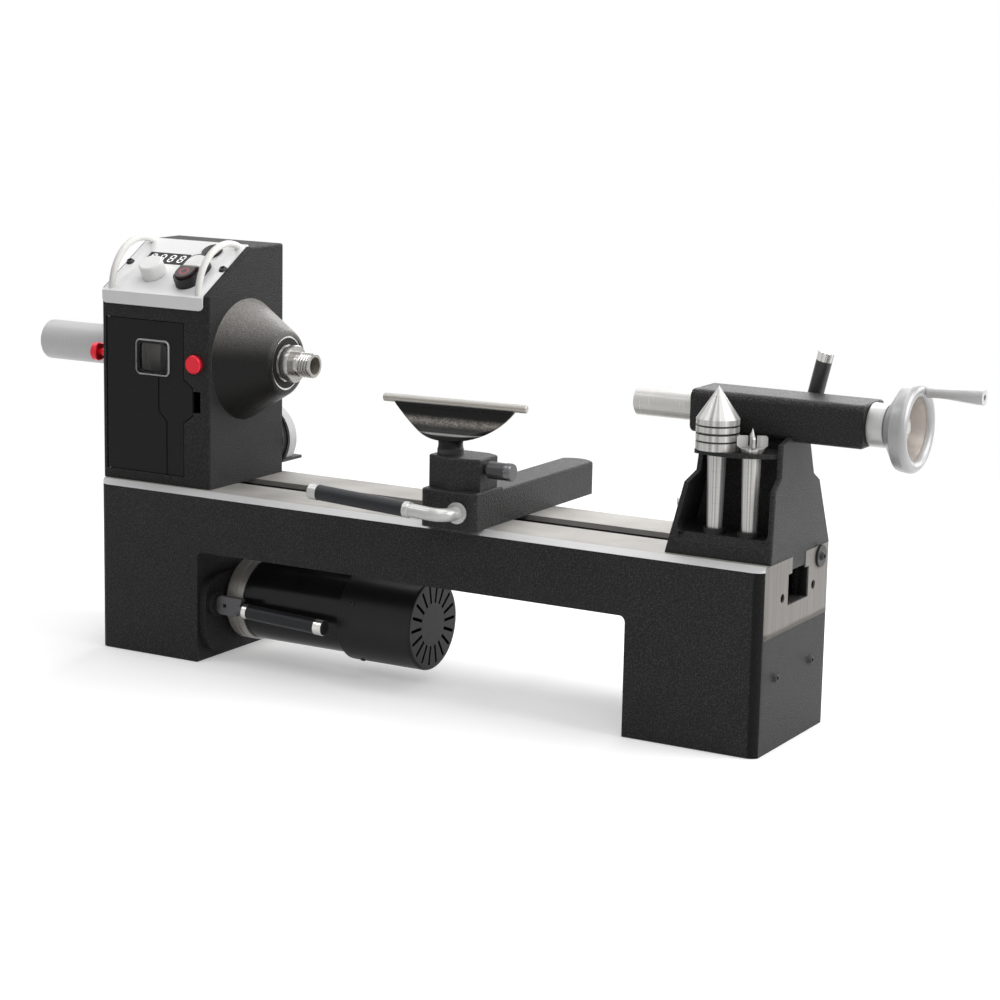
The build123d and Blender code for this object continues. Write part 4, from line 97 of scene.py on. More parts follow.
class Finish:
    """A material: a Principled shader, and the nodes that feed it."""

    def __init__(self, name):
        self.material = bpy.data.materials.new(name)
        self.material.use_nodes = True
        self.tree = self.material.node_tree
        self.shader = self.tree.nodes["Principled BSDF"]
        self.place = self.add("ShaderNodeTexCoord", out="Object")
        self.x, self.y, self.z = self.split(self.place)

    def add(self, kind, settings=None, sockets=None, out=0):
        """Makes one node: its settings first, then the value or link of each named socket."""
        node = self.tree.nodes.new(kind)
        for key, value in (settings or {}).items():
            setattr(node, key, value)
        for key, value in (sockets or {}).items():
            self.plug(node.inputs[key], value)
        return Reading(self, node.outputs[out])

    def plug(self, socket, value):
        if isinstance(value, Reading):
            self.tree.links.new(value.socket, socket)
        else:
            socket.default_value = value

    def split(self, vector):
        node = self.add("ShaderNodeSeparateXYZ", None, {0: vector}).socket.node
        return [Reading(self, node.outputs[i]) for i in range(3)]

    def stretched(self, scale):
        """Object coordinates squeezed by a scale for each axis, for streaks and turned lines."""
        return self.add("ShaderNodeMapping", None, {"Vector": self.place, "Scale": scale})

    def noise(self, scale, detail=2.0, vector=None, distortion=0.0):
        sockets = {"Scale": scale, "Detail": detail, "Distortion": distortion}
        return self.add("ShaderNodeTexNoise", None, {"Vector": vector or self.place, **sockets})

    def between(self, value, low, high):
        """0 below low, 1 above high, smooth in between."""
        sockets = {"Value": value, "From Min": low, "From Max": high}
        return self.add("ShaderNodeMapRange", {"interpolation_type": "SMOOTHSTEP"}, sockets)

    def mix(self, factor, first, second):
        """Blend of two colours."""
        first = first if isinstance(first, Reading) else (*first, 1.0)
        second = second if isinstance(second, Reading) else (*second, 1.0)
        return self.add("ShaderNodeMix", {"data_type": "RGBA"}, {0: factor, 6: first, 7: second}, out=2)

    def rounded(self, width):
        """The normal that the surface would have if its edges were rounded by width."""
        return self.add("ShaderNodeBevel", {"samples": 4}, {"Radius": width})

    def corner(self, width):
        """0 on flats, more on outer corners: how far a corner rounded by width turns the normal."""
        flat = self.add("ShaderNodeNewGeometry", out="Normal")
        return 1 - self.dot(self.rounded(width), flat)

    def dot(self, first, second):
        sockets = {0: first, 1: second}
        return self.add("ShaderNodeVectorMath", {"operation": "DOT_PRODUCT"}, sockets, out="Value")

    def bump(self, height, depth, strength, normal=None):
        sockets = {"Height": height, "Distance": depth, "Strength": strength}
        if normal:
            sockets["Normal"] = normal
        return self.add("ShaderNodeBump", None, sockets)

    def set(self, **values):
        """Sets the shader's sockets by name; a plain colour may be given with three numbers."""
        for key, value in values.items():
            socket = self.shader.inputs[key.replace("_", " ")]
            if isinstance(value, tuple) and len(value) == 3 and socket.type == "RGBA":
                value = (*value, 1.0)
            self.plug(socket, value)

    def fed(self, key):
        """What feeds one of the shader's sockets so far, to build on."""
        return Reading(self, self.shader.inputs[key].links[0].from_socket)

    def seen(self):
        """1 for rays from the camera, from mirrors and through glass, 0 for light on plain surfaces."""
        paths = self.add("ShaderNodeLightPath").socket.node.outputs
        kinds = ("Is Camera Ray", "Is Glossy Ray", "Is Transmission Ray")
        camera, glossy, through = [Reading(self, paths[kind]) for kind in kinds]
        return camera + (glossy + through)


def length(first, second):
    """Length of a vector with two parts, such as the distance from an axis."""
    return (first * first + second * second) ** 0.5


def wear(names, finish):
    """Puts a finish on CAD nodes."""
    for name in names.split():
        slots = nodes[name].data.materials
        if not slots:
            slots.append(finish.material)
        for index in range(len(slots)):
            slots[index] = finish.material


print("finish tools ready")

# %% [markdown]
# ## Black paint on castings
# The castings carry a fine-grained black powder paint. Close up it is a skin of tiny bumps, a
# little greyer where the powder lies thick. Noise of about a millimetre drives both the bumps and
# the gloss, and a slow noise keeps large faces from looking flat. The castings that hands slide
# along the bed are a little shinier.

# %% Casting paint
PAINT = (0.0095, 0.0095, 0.0098)
PAINT_WORN_AND_LIT = (0.085, 0.084, 0.082)
BED_LIGHT = (0.068, 0.0675, 0.0665)
HEAD_LIGHT = (0.045, 0.0447, 0.0442)
HANDLED_LIGHT = (0.05, 0.0497, 0.0492)
PAINT_SHINE, HANDLED_SHINE = 0.13, 0.17


def grain_paint(finish, light, grain=780.0, rough=0.46):
    """Colour, roughness and bump height of the powder paint, as three readings."""
    fine = finish.noise(grain, 2.0)
    speck = finish.between(fine, 0.47, 0.68)
    slow = finish.noise(14.0, 2.0)
    # Outer corners are painted lighter: partly worn paint, partly a painted highlight along the edges.
    worn_and_lit_edge = finish.between(finish.corner(0.0012), 0.05, 0.3)
    colour = finish.mix(speck * 0.68 + slow * 0.22, PAINT, light)
    colour = finish.mix(worn_and_lit_edge * (fine * 0.5 + 0.1), colour, PAINT_WORN_AND_LIT)
    return colour, fine * 0.24 + slow * 0.1 + (rough - 0.17), fine


def painted(name, shine, depth, strength, *grain):
    """Powder paint of one shine, with a grain of that depth and strength."""
    finish = Finish(name)
    colour, gloss, skin = grain_paint(finish, *grain)
    relief = finish.bump(skin, depth, strength)
    finish.set(Base_Color=colour, Roughness=gloss, Specular_IOR_Level=shine, Normal=relief)
    return finish


wear("headstock motor_plate", painted("casting_paint", PAINT_SHINE, 0.0018, 0.8, HEAD_LIGHT))
handled = painted("handled_casting_paint", HANDLED_SHINE, 0.0016, 0.7, HANDLED_LIGHT, 740.0, 0.39)
wear("tailstock banjo", handled)
print("casting paint on four castings")

# %% [markdown]
# The cone of the nose housing and the scoop of the tool rest look different: the paint there is
# thick and smooth, and most of it stays deep black with a low sheen. A noise pulled through itself
# adds the short winding ridges that such paint draws up into. The upper half of the cone is painted
# lighter, a painted sheen. In the scoop one long brown-grey band is painted in as a painted
# highlight, and the lip below it is painted pale as a painted highlight.


# %% Thick paint
def thick_paint(name, shine, depth):
    """Nearly black gloss paint with ridges; returns the finish, its colour and its ridges."""
    finish = Finish(name)
    ridge = finish.noise(520.0, 3.0, distortion=1.0)
    soft = finish.noise(150.0, 1.0)
    # Outer corners are painted lighter: partly worn paint, partly a painted highlight along the edges.
    worn_and_lit_edge = finish.between(finish.corner(0.001), 0.05, 0.3)
    colour = finish.mix(worn_and_lit_edge * 0.6 + ridge * 0.04, (0.0025, 0.0025, 0.0026), (0.15, 0.147, 0.142))
    finish.set(
        Base_Color=colour,
        Roughness=ridge * 0.12 + 0.24,
        Specular_IOR_Level=shine,
        Specular_Tint=(1.0, 0.985, 0.965),
        Normal=finish.bump(ridge + soft * 0.4, depth, 0.6),
    )
    return finish, colour, ridge


CONE_SHEEN_FROM, CONE_SHEEN_FULL = SPINDLE_Z + 0.004, SPINDLE_Z + 0.058
CONE_SHEEN, SCOOP_SHEEN, LIP_HIGHLIGHT = (0.3, 0.286, 0.267), (0.34, 0.316, 0.284), (0.4, 0.395, 0.385)
cone_paint, colour, _ = thick_paint("cone_paint", 0.2, 0.0009)
# The upper half of the cone is painted lighter with a speckled grain: a painted sheen.
cone_sheen = cone_paint.between(cone_paint.z, CONE_SHEEN_FROM, CONE_SHEEN_FULL)
sheen_grain = cone_paint.between(cone_paint.noise(1000.0, 2.0), 0.3, 0.7) * 0.45 + 0.4
cone_paint.set(Base_Color=cone_paint.mix(cone_sheen * sheen_grain, colour, CONE_SHEEN))
wear("nose_housing", cone_paint)

SCOOP_SHEEN_Z, SCOOP_SHEEN_HALF, SCOOP_SHEEN_WANDER = 0.2742, 0.0058, 0.003
LIP_Z, LIP_HALF, LIP_CORE = 0.2645, 0.001, 0.0003
scoop_paint, colour, ridge = thick_paint("scoop_paint", 0.16, 0.0004)
# One long brown-grey band across the scoop is painted in: a painted highlight.
height = scoop_paint.z + scoop_paint.noise(30.0, 2.0) * SCOOP_SHEEN_WANDER
rub_and_sheen = scoop_paint.between(abs(height - SCOOP_SHEEN_Z - SCOOP_SHEEN_WANDER / 2), SCOOP_SHEEN_HALF, 0.0)
speck = scoop_paint.between(ridge, 0.3, 0.75)
colour = scoop_paint.mix(rub_and_sheen * (speck * 0.75 + 0.25), colour, SCOOP_SHEEN)
# The lip's edge is painted pale: a painted highlight.
lip = scoop_paint.between(abs(scoop_paint.z - LIP_Z), LIP_HALF, LIP_CORE)
scoop_paint.set(Base_Color=scoop_paint.mix(lip * 0.7, colour, LIP_HIGHLIGHT))
wear("tool_rest", scoop_paint)
print("thick paint on the nose housing and the rest")

# %% [markdown]
# ## The bed: paint below, ground iron above
# The ways, their bevel and the pad at the end are ground after painting. The bed is one solid, so
# the finish asks where it is: above the bevel's lower edge, or on the raised pad, it is bare iron
# with grinding lines; elsewhere it is paint. The legs' upright corners are softly rounded castings.
# A rounded normal near the ends gives them that soft turn, and a band beside each corner is painted
# deep black: painted shade, the dark that a wide rounded corner shows there.

# %% Bed finish
WAY_EDGE, WAY_TOP, BEVEL_FROM = 0.17195, 0.1768, 0.06
PAD_FACE, PAD_LOW, FOOT_TOP, FOOT_LOW = 0.3735, 0.1086, 0.118, 0.1145
CORNER, CORNER_REACH, CORNER_BLEND, SHADE_BAND, SHADE_BAND_BLEND = 0.012, 0.02, 0.004, 0.012, 0.003
IRON_DARK, IRON_PALE = (0.3, 0.287, 0.267), (0.43, 0.417, 0.397)
BEVEL_REFLECTION_DARK, BEVEL_REFLECTION_PALE = (0.5, 0.498, 0.498), (0.68, 0.68, 0.685)
PAD_DARK, PAD_PALE, PAD_FOOT_DARK = (0.165, 0.157, 0.147), (0.215, 0.205, 0.192), (0.07, 0.063, 0.055)
bed = Finish("bed_paint_and_ground_iron")
paint, gloss, skin = grain_paint(bed, BED_LIGHT)
streak = bed.noise(1.0, 3.0, bed.stretched((9.0, 2200.0, 2200.0)))
stain = bed.noise(22.0, 3.0)
top = bed.z > WAY_EDGE
pad = (bed.x > PAD_FACE) * (bed.z > PAD_LOW)
bevel = top * (bed.z < WAY_TOP) * (abs(bed.y) > BEVEL_FROM) * (1 - pad)
bare = top + pad - top * pad
patina = bed.between(stain * 0.5 + streak * 0.5, 0.3, 0.7)
iron = bed.mix(patina, IRON_DARK, IRON_PALE)
# The bevel is painted paler than the ways: a painted reflection.
iron = bed.mix(bevel, iron, bed.mix(streak, BEVEL_REFLECTION_DARK, BEVEL_REFLECTION_PALE))
scratch = bed.between(bed.noise(1.0, 3.0, bed.stretched((900.0, 900.0, 14.0))), 0.34, 0.66)
# The pad is painted darker towards its lower edge.
foot = bed.between(bed.z + stain * 0.005, FOOT_TOP, FOOT_LOW)
ground = bed.mix(scratch, PAD_DARK, PAD_PALE)
iron = bed.mix(pad, iron, bed.mix(foot * 0.8, ground, PAD_FOOT_DARK))
ends = np.array(nodes["bed"].bound_box)[:, 0]
middle, half = float(ends.max() + ends.min()) / 2, float(ends.max() - ends.min()) / 2
outward, reach, edge = abs(bed.x - middle), half - CORNER_REACH, half - SHADE_BAND
near_end = bed.between(outward, reach, reach + CORNER_BLEND)
upright = near_end * bed.between(bed.z, CORNER, 2 * CORNER) * (1 - bare)
flat = bed.add("ShaderNodeNewGeometry", out="Normal")
facing = bed.between(abs(bed.dot(flat, (0.0, 1.0, 0.0))), 0.45, 0.6)
# Beside each upright corner a band is painted near black: painted shade.
shade_band = bed.between(outward, edge, edge + SHADE_BAND_BLEND) * facing * (1 - bare)
paint = bed.mix(shade_band * 0.95, paint, (0.001, 0.001, 0.001))
normals = {0: upright, 4: flat, 5: bed.rounded(CORNER)}
soft = bed.add("ShaderNodeMix", {"data_type": "VECTOR"}, normals, out=1)
bed.set(
    Base_Color=bed.mix(bare, paint, iron),
    Metallic=bare * 0.45 - bevel * 0.15,
    Roughness=gloss * (1 - bare) + bare * (streak * 0.22 + stain * 0.14 + 0.36),
    Specular_IOR_Level=PAINT_SHINE,
    Normal=bed.bump(skin * (1 - bare) + streak * bare * 0.04, 0.0018, 0.8, soft),
)
wear("bed", bed)
print("bed finish set, bed half length:", round(half, 4))

# %% [markdown]
# ## Turned metal
# Lathe-turned steel and aluminium keep faint rings from the tool. The rings depend only on the
# distance along the axis, here x, so the noise is squeezed until only that axis counts. In a white
# studio full metal mirrors white on every side and loses its form. So most of these metals are satin:
# a pale colour that the lamps shade, with only a part of metal in it.

# %% Turned metal
SQUEEZE, RING_DEPTH = 0.01, 0.00002


def turned(name, colour, rough, lines=1500.0, metal=0.3):
    """Metal with tool rings across x."""
    finish = Finish(name)
    rings = finish.noise(lines, 2.0, finish.stretched((1.0, SQUEEZE, SQUEEZE)))
    haze = finish.noise(45.0, 3.0)
    dark = tuple(c * 0.72 for c in colour)
    finish.set(
        Base_Color=finish.mix(rings * 0.55 + haze * 0.45, dark, colour),
        Metallic=metal,
        Roughness=rings * 0.14 + haze * 0.12 + (rough - 0.13),
        Normal=finish.bump(rings, RING_DEPTH, 0.5),
    )
    return finish


STEEL = (0.7, 0.684, 0.658)
ALUMINIUM = (0.66, 0.66, 0.67)
COLLAR_GREY, CRANK_GREY, RING_GREY = (0.6, 0.6, 0.595), (0.52, 0.52, 0.52), (0.42, 0.42, 0.43)
PULLEY_GREY = (0.75, 0.74, 0.72)
wear("quill quill_screw motor_rotor door_hinge_pins", turned("turned_steel_along_x", STEEL, 0.24))
wear("outboard_handwheel", turned("satin_aluminium", ALUMINIUM, 0.4, lines=2200.0, metal=0.12))
wear("screw_collar", turned("satin_collar", COLLAR_GREY, 0.36, metal=0.45))
wear("crank_handle", turned("pale_crank", CRANK_GREY, 0.36))
wear("spindle_pulley motor_pulley", turned("dull_pulley", PULLEY_GREY, 0.5, lines=300.0))
wear("rear_ring", turned("painted_ring", RING_GREY, 0.6, metal=0.6))
print("turned metals set")

# %% [markdown]
# The rod on the tool rest is hardened steel that tools have slid along for years: pale, with a
# brown line along its front where hands and resin have left a film.

# %% Rest rod
ROD_Z, ROD_RADIUS = 0.2924, 0.004
rod = turned("worn_rest_rod", (0.5, 0.482, 0.45), 0.36, metal=0.35)
rise = (rod.z - ROD_Z) / ROD_RADIUS
film_and_shade = rod.between(abs(rise - 0.1), 0.3, 0.1) * (rod.noise(160.0, 3.0) * 0.7 + 0.3)
rod.set(Base_Color=rod.mix(film_and_shade, rod.fed("Base Color"), (0.3, 0.255, 0.2)))
wear("rest_rod", rod)
print("rest rod set")

# %% [markdown]
# The tail handwheel is cast and only skimmed, so it is satin all over, and its dish is painted
# browner. The dish is the part nearer the axis than the rim's inner edge and right of the hub's cone.

# %% Tail handwheel
DISH_RADIUS, HUB_CONE = 0.0286, 0.0075
wheel_left = min(corner[0] for corner in nodes["tail_handwheel"].bound_box)
wheel = turned("satin_wheel", (0.42, 0.42, 0.425), 0.34, lines=900.0)
dish = (length(wheel.y, wheel.z - SPINDLE_Z) < DISH_RADIUS) * (wheel.x > wheel_left + HUB_CONE)
dish_brown = wheel.mix(wheel.noise(90.0, 3.0), (0.36, 0.32, 0.285), (0.52, 0.485, 0.45))
wheel.set(Base_Color=wheel.mix(dish, wheel.fed("Base Color"), dish_brown))
wear("tail_handwheel", wheel)
print("tail handwheel set")

# %% [markdown]
# The centres in the tailstock's pocket are polished steel. Long light and dark lines along them are
# painted in: a painted reflection of a room. The live centre also has three narrow grooves, painted
# black as painted shade: a groove is simply the part that lies nearer the centre's own axis, so one
# distance paints it black.

# %% Live centre and spur centre
LIVE_AXIS, SPUR_AXIS = (0.311, -0.049), (0.3455, -0.049)
GROOVE_FLOOR, GROOVES_BELOW, GROOVES_ABOVE = 0.0194, 0.3036, 0.2757
REFLECTION_DARK, REFLECTION_PALE, POLISH_METAL = (0.3, 0.294, 0.285), (0.72, 0.712, 0.696), 0.45


def painted_reflection_lines(finish, one, two):
    """Painted reflection lines along a round bar, light and dark: noise on the direction from its axis, and
    the radius.
    """
    radius = length(one, two) + 0.0001
    around = finish.add("ShaderNodeCombineXYZ", None, {0: one / radius, 1: two / radius})
    return finish.between(finish.noise(5.0, 4.0, around), 0.34, 0.66), radius


def polished(name, axis):
    """Upright polished steel with painted reflection lines along it; returns the finish, its radius and its
    colour.
    """
    finish = Finish(name)
    lines, radius = painted_reflection_lines(finish, finish.x - axis[0], finish.y - axis[1])
    rings = finish.noise(1500.0, 2.0, finish.stretched((SQUEEZE, SQUEEZE, 1.0)))
    colour = finish.mix(lines * 0.8 + rings * 0.2, REFLECTION_DARK, REFLECTION_PALE)
    finish.set(Base_Color=colour, Metallic=POLISH_METAL, Roughness=rings * 0.14 + lines * 0.08 + 0.22)
    return finish, radius, colour


live, radius, colour = polished("live_centre_steel", LIVE_AXIS)
# The grooves are painted black: painted shade.
groove_shade = (radius < GROOVE_FLOOR) * (live.z < GROOVES_BELOW) * (live.z > GROOVES_ABOVE)
live.set(Base_Color=live.mix(groove_shade, colour, (0.01, 0.01, 0.01)), Metallic=(1 - groove_shade) * POLISH_METAL)
wear("live_centre_shank live_centre_cone", live)
wear("spur_centre", polished("spur_centre_steel", SPUR_AXIS)[0])
print("centres set")

# %% [markdown]
# The motor's end bell is a die casting that was only skimmed: duller than the turned pieces. The tube
# of the cam lever is smooth plate with a few hand marks. Small steel pieces are black with oxide.

# %% End bell, plate and dark steel
wear("motor_end_bell", turned("skimmed_end_bell", (0.62, 0.6, 0.56), 0.42, lines=700.0, metal=0.6))

plate = Finish("bright_plate")
marks = plate.noise(60.0, 4.0)
plate.set(
    Base_Color=plate.mix(marks, (0.46, 0.46, 0.452), (0.56, 0.56, 0.552)),
    Metallic=0.3,
    Roughness=marks * 0.1 + 0.2,
)
wear("cam_lever", plate)

oxide = Finish("black_oxide_steel")
blotch = oxide.noise(240.0, 3.0)
oxide.set(
    Base_Color=oxide.mix(blotch, (0.012, 0.012, 0.012), (0.03, 0.03, 0.03)),
    Metallic=0.4,
    Roughness=blotch * 0.2 + 0.33,
)
wear("stop_washer button_screws rest_clamp_plate rest_eye_bolt", oxide)
wear("tail_clamp motor_pivot_bolt tool_post", oxide)

grey = Finish("grey_bracket")
speck = grey.noise(700.0, 3.0)
grey.set(
    Base_Color=grey.mix(speck, (0.075, 0.075, 0.08), (0.11, 0.11, 0.115)),
    Metallic=0.3,
    Roughness=speck * 0.2 + 0.36,
    Normal=grey.bump(speck, 0.0001, 0.4),
)
wear("tension_bracket", grey)
print("end bell, plate, oxide and bracket set")

# %% [markdown]
# ## Bearings
# A sealed bearing shows three rings: bright outer race, black rubber seal, bright inner race. One
# solid carries all three, told apart by the distance from the spindle axis.

# %% Bearing races and seal
SEAL_INNER, SEAL_OUTER = 0.0188, 0.0258
bearing = Finish("bearing_races_and_seal")
radius = length(bearing.y, bearing.z - SPINDLE_Z)
seal = (radius > SEAL_INNER) * (radius < SEAL_OUTER)
bearing.set(
    Base_Color=bearing.mix(seal, (0.62, 0.61, 0.6), (0.012, 0.012, 0.012)),
    Metallic=1 - seal,
    Roughness=bearing.noise(300.0) * 0.1 + seal * 0.3 + 0.18,
    Specular_IOR_Level=0.15,
)
wear("front_bearing rear_bearing", bearing)
print("bearings set")

# %% [markdown]
# ## Plastics and rubber
# The belt door, bezels and fan cover are moulded with a fine spark-eroded texture. The panel and
# knob are smooth and white. Rubber is the dullest of all.

# %% Moulded plastic
MOULD_GRAIN, MOULD_DEPTH, MOULD_SHINE = 1300.0, 0.00008, 0.22


def moulded(name, colour, rough, grain=MOULD_GRAIN, depth=MOULD_DEPTH, shine=MOULD_SHINE):
    """Plastic: even colour with a slight drift, fine texture in bump and roughness."""
    finish = Finish(name)
    fine = finish.noise(grain, 2.0)
    drift = finish.noise(18.0, 2.0)
    light = tuple(min(c * 1.25 + 0.002, 1.0) for c in colour)
    # Outer corners are painted lighter and a little smoother: partly rubbed plastic, partly a painted
    # highlight along the edges.
    rubbed_and_lit_edge = finish.between(finish.corner(0.0008), 0.05, 0.3)
    finish.set(
        Base_Color=finish.mix(fine * 0.4 + drift * 0.4 + rubbed_and_lit_edge * 0.2, colour, light),
        Roughness=fine * 0.12 + drift * 0.08 - rubbed_and_lit_edge * 0.06 + (rough - 0.1),
        Specular_IOR_Level=shine,
        Normal=finish.bump(fine, depth, 0.4),
    )
    return finish


wear("belt_door", moulded("door_plastic", (0.009, 0.009, 0.0095), 0.44, 900.0, 0.0009, shine=0.12))
black_plastic = moulded("black_plastic", (0.02, 0.02, 0.021), 0.4)
wear("switch_bezel direction_bezel direction_rocker mains_gland rear_bracket", black_plastic)
wear("motor_body", moulded("motor_enamel", (0.012, 0.012, 0.013), 0.22, 500.0))
wear("drive_belt", moulded("belt_rubber", (0.014, 0.014, 0.014), 0.72))
wear("cam_lever_grip tension_grip", moulded("grip_sleeve", (0.017, 0.018, 0.021), 0.38, 1600.0, 0.00012))
wear("control_panel", moulded("panel_white", (0.74, 0.74, 0.74), 0.32, depth=0.00001))
wear("speed_knob", moulded("knob_white", (0.72, 0.72, 0.71), 0.4))
wear("carry_handle_left carry_handle_right", moulded("rod_white", (0.66, 0.65, 0.63), 0.38))
print("plastics and rubber set")

# %% [markdown]
# ## Red anodised caps
# The spindle lock and the index pin have red anodised aluminium caps. Anodising is a clear dyed
# glass over metal: coloured metal with a soft shine.

# %% Red caps
red = Finish("red_anodised")
rub_and_sheen = red.noise(500.0, 2.0)
red.set(
    Base_Color=red.mix(rub_and_sheen, (0.6, 0.012, 0.026), (0.82, 0.022, 0.045)),
    Metallic=0.55,
    Roughness=rub_and_sheen * 0.14 + 0.24,
)
wear("lock_button index_knob", red)
print("red caps set")

# %% [markdown]
# ## The sloping panel's own frame
# The panel leans back, so a pattern on it is easiest to write in the panel's own coordinates:
# across, up the slope, and off the face. They are three dot products with the panel's axes.

# %% Panel coordinates
PANEL_RISE, PANEL_RUN = 47.2, 78.35
SLOPE = math.atan2(PANEL_RISE, PANEL_RUN)
PANEL_FOOT = np.array([-313.85, -65.0, 370.4]) * MM
ACROSS = np.array([1.0, 0.0, 0.0])
UPHILL = np.array([0.0, math.cos(SLOPE), math.sin(SLOPE)])
OFF = np.array([0.0, -math.sin(SLOPE), math.cos(SLOPE)])


def on_panel(across, uphill, off):
    """Points on the panel: foot + across * X + uphill * slope direction + off * normal, in mm."""
    parts = np.stack(np.broadcast_arrays(across, uphill, off), axis=-1) * MM
    return PANEL_FOOT + parts @ np.stack([ACROSS, UPHILL, OFF])


def panel_reading(finish, axis):
    """Distance along one of the panel's axes, as a reading in millimetres."""
    return (finish.dot(finish.place, tuple(axis)) - float(PANEL_FOOT @ axis)) * (1 / MM)


print("panel slope:", round(math.degrees(SLOPE), 2), "degrees")

# %% [markdown]
# ## Push buttons
# The start cap is plain white. The stop cap is a smoky red lens with a bright ring moulded inside
# it, drawn here by the distance from the cap's centre.

# %% Button caps
STOP_MID, HALO_RADIUS, HALO_HALF, HALO_CORE = (30.3, 23.5), 4.6, 1.5, 0.6
wear("start_button", moulded("start_cap", (0.74, 0.74, 0.73), 0.3))

lens = Finish("stop_lens")
ring = length(panel_reading(lens, ACROSS) - STOP_MID[0], panel_reading(lens, UPHILL) - STOP_MID[1])
halo = lens.between(abs(ring - HALO_RADIUS), HALO_HALF, HALO_CORE)
lens.set(
    Base_Color=lens.mix(halo, (0.02, 0.008, 0.009), (0.3, 0.035, 0.05)),
    Roughness=lens.noise(80.0) * 0.06 + 0.3,
    Specular_IOR_Level=0.25,
)
wear("stop_button", lens)
print("button caps set")

# %% [markdown]
# ## The window in the belt door
# A clear moulding with a bevelled rim. The middle lets the pulleys show; the bevel catches the
# light as a thin bright line. The distance to the rounded outline tells the two apart: it is 0 on
# the outline and falls towards the middle.

# %% Window
WINDOW_MID = (-0.314, 0.3066)
WINDOW_HALF, WINDOW_ROUND = (0.0215, 0.0185), 0.006
LINE_DEPTH, LINE_HALF, LINE_CORE = 0.0009, 0.0011, 0.0005
SEAT_FROM, SEAT_FULL = -0.0048, -0.0042
pane = Finish("clear_window")
over_x = abs(pane.x - WINDOW_MID[0]) - (WINDOW_HALF[0] - WINDOW_ROUND)
over_z = abs(pane.z - WINDOW_MID[1]) - (WINDOW_HALF[1] - WINDOW_ROUND)
far_x, far_z = over_x.sum("MAXIMUM", over_x, 0.0), over_z.sum("MAXIMUM", over_z, 0.0)
inside = over_x.sum("MINIMUM", over_x.sum("MAXIMUM", over_x, over_z), 0.0)
depth = length(far_x, far_z) + inside - WINDOW_ROUND
line = pane.between(abs(depth + LINE_DEPTH), LINE_HALF, LINE_CORE)
seat = pane.between(depth, SEAT_FROM, SEAT_FULL)
pane.set(
    Base_Color=pane.mix(line, (0.05, 0.052, 0.054), (0.5, 0.5, 0.51)),
    Roughness=pane.noise(120.0) * 0.06 + 0.06,
    Alpha=line * (pane.noise(70.0) * 0.5 + 0.35) + seat * 0.16 + 0.05,
    Coat_Weight=line * 0.5,
)
wear("door_window", pane)
print("window set")

# %% [markdown]
# ## Sleeves with bare ends
# Four small levers and knobs have a black sleeve and ends of bare metal. Each is one solid, so the
# finish measures along it and changes from sleeve to metal.


# %% Sleeve and bright end
def sleeve_and_metal(name, measure, sleeve_from, sleeve_to, metal=(0.62, 0.61, 0.59)):
    """Black sleeve between two distances along the lever, bare metal outside them."""
    finish = Finish(name)
    along = measure(finish)
    sleeve = (along > sleeve_from) * (along < sleeve_to)
    fine = finish.noise(1500.0, 2.0)
    finish.set(
        Base_Color=finish.mix(sleeve, metal, (0.022, 0.022, 0.024)),
        Metallic=1 - sleeve,
        Roughness=fine * 0.14 + sleeve * 0.08 + 0.2,
        Normal=finish.bump(fine * sleeve, 0.0001, 0.4),
    )
    return finish


LEAN = math.radians(13.0)
LOCK_PIVOT, TAIL_LEVER_X = (0.365, SPINDLE_Z), 0.3195
GUNMETAL = (0.13, 0.13, 0.135)
wear("post_lock_knob", sleeve_and_metal("post_lock_finish", lambda f: f.x, 0.0833, 0.1016, GUNMETAL))
wear("quill_lock_lever", sleeve_and_metal(
    "quill_lock_finish",
    lambda f: (f.x - LOCK_PIVOT[0]) * math.sin(LEAN) + (f.z - LOCK_PIVOT[1]) * math.cos(LEAN),
    0.0159, 0.0491,
))
wear("tailstock_lever", sleeve_and_metal("tail_lever_finish", lambda f: TAIL_LEVER_X - f.x, 0.0421, 0.0999))
wear("tension_rod", sleeve_and_metal("tension_rod_finish", lambda f: f.x, -0.1070, -0.05))
print("levers set")

# %% [markdown]
# ## Fan cover
# The cover's round side is smooth black, and its slotted end face is a little duller. The end face
# lies in one plane, so the roughness changes at that plane.

# %% Fan cover
COVER_FACE, COVER_RADIUS, MOTOR_Z = -17.1, 46.5, 56.0
cover = Finish("fan_cover_plastic")
fine = cover.noise(MOULD_GRAIN, 2.0)
face = cover.x > COVER_FACE * MM
cover.set(
    Base_Color=(0.014, 0.014, 0.015),
    Roughness=fine * 0.14 + face * 0.1 + 0.3,
    Specular_IOR_Level=MOULD_SHINE,
    Normal=cover.bump(fine, MOULD_DEPTH, 0.4),
)
wear("fan_cover", cover)
print("fan cover set")

# %% [markdown]
# ## Display
# The pane is dark and smooth. The digits are seven-segment bars that glow softly; each bar is a
# six-sided strip, and all bars of all digits are laid out at once as one array.

# %% Display pane
glass = Finish("display_pane")
glass.set(
    Base_Color=glass.mix(glass.noise(40.0), (0.006, 0.006, 0.0065), (0.011, 0.011, 0.012)),
    Roughness=glass.noise(300.0) * 0.1 + 0.34,
    Specular_IOR_Level=0.12,
)
wear("display_window", glass)
print("display pane set")

# %% [markdown]
# New shapes are arrays of points on a grid. Three helpers turn such an array into a mesh: one makes
# the faces of a grid, one repeats them for copies, and one builds the object, turns its faces
# outwards and lets it ride on a moving body.

# %% Mesh helpers
SHARP = math.radians(35.0)


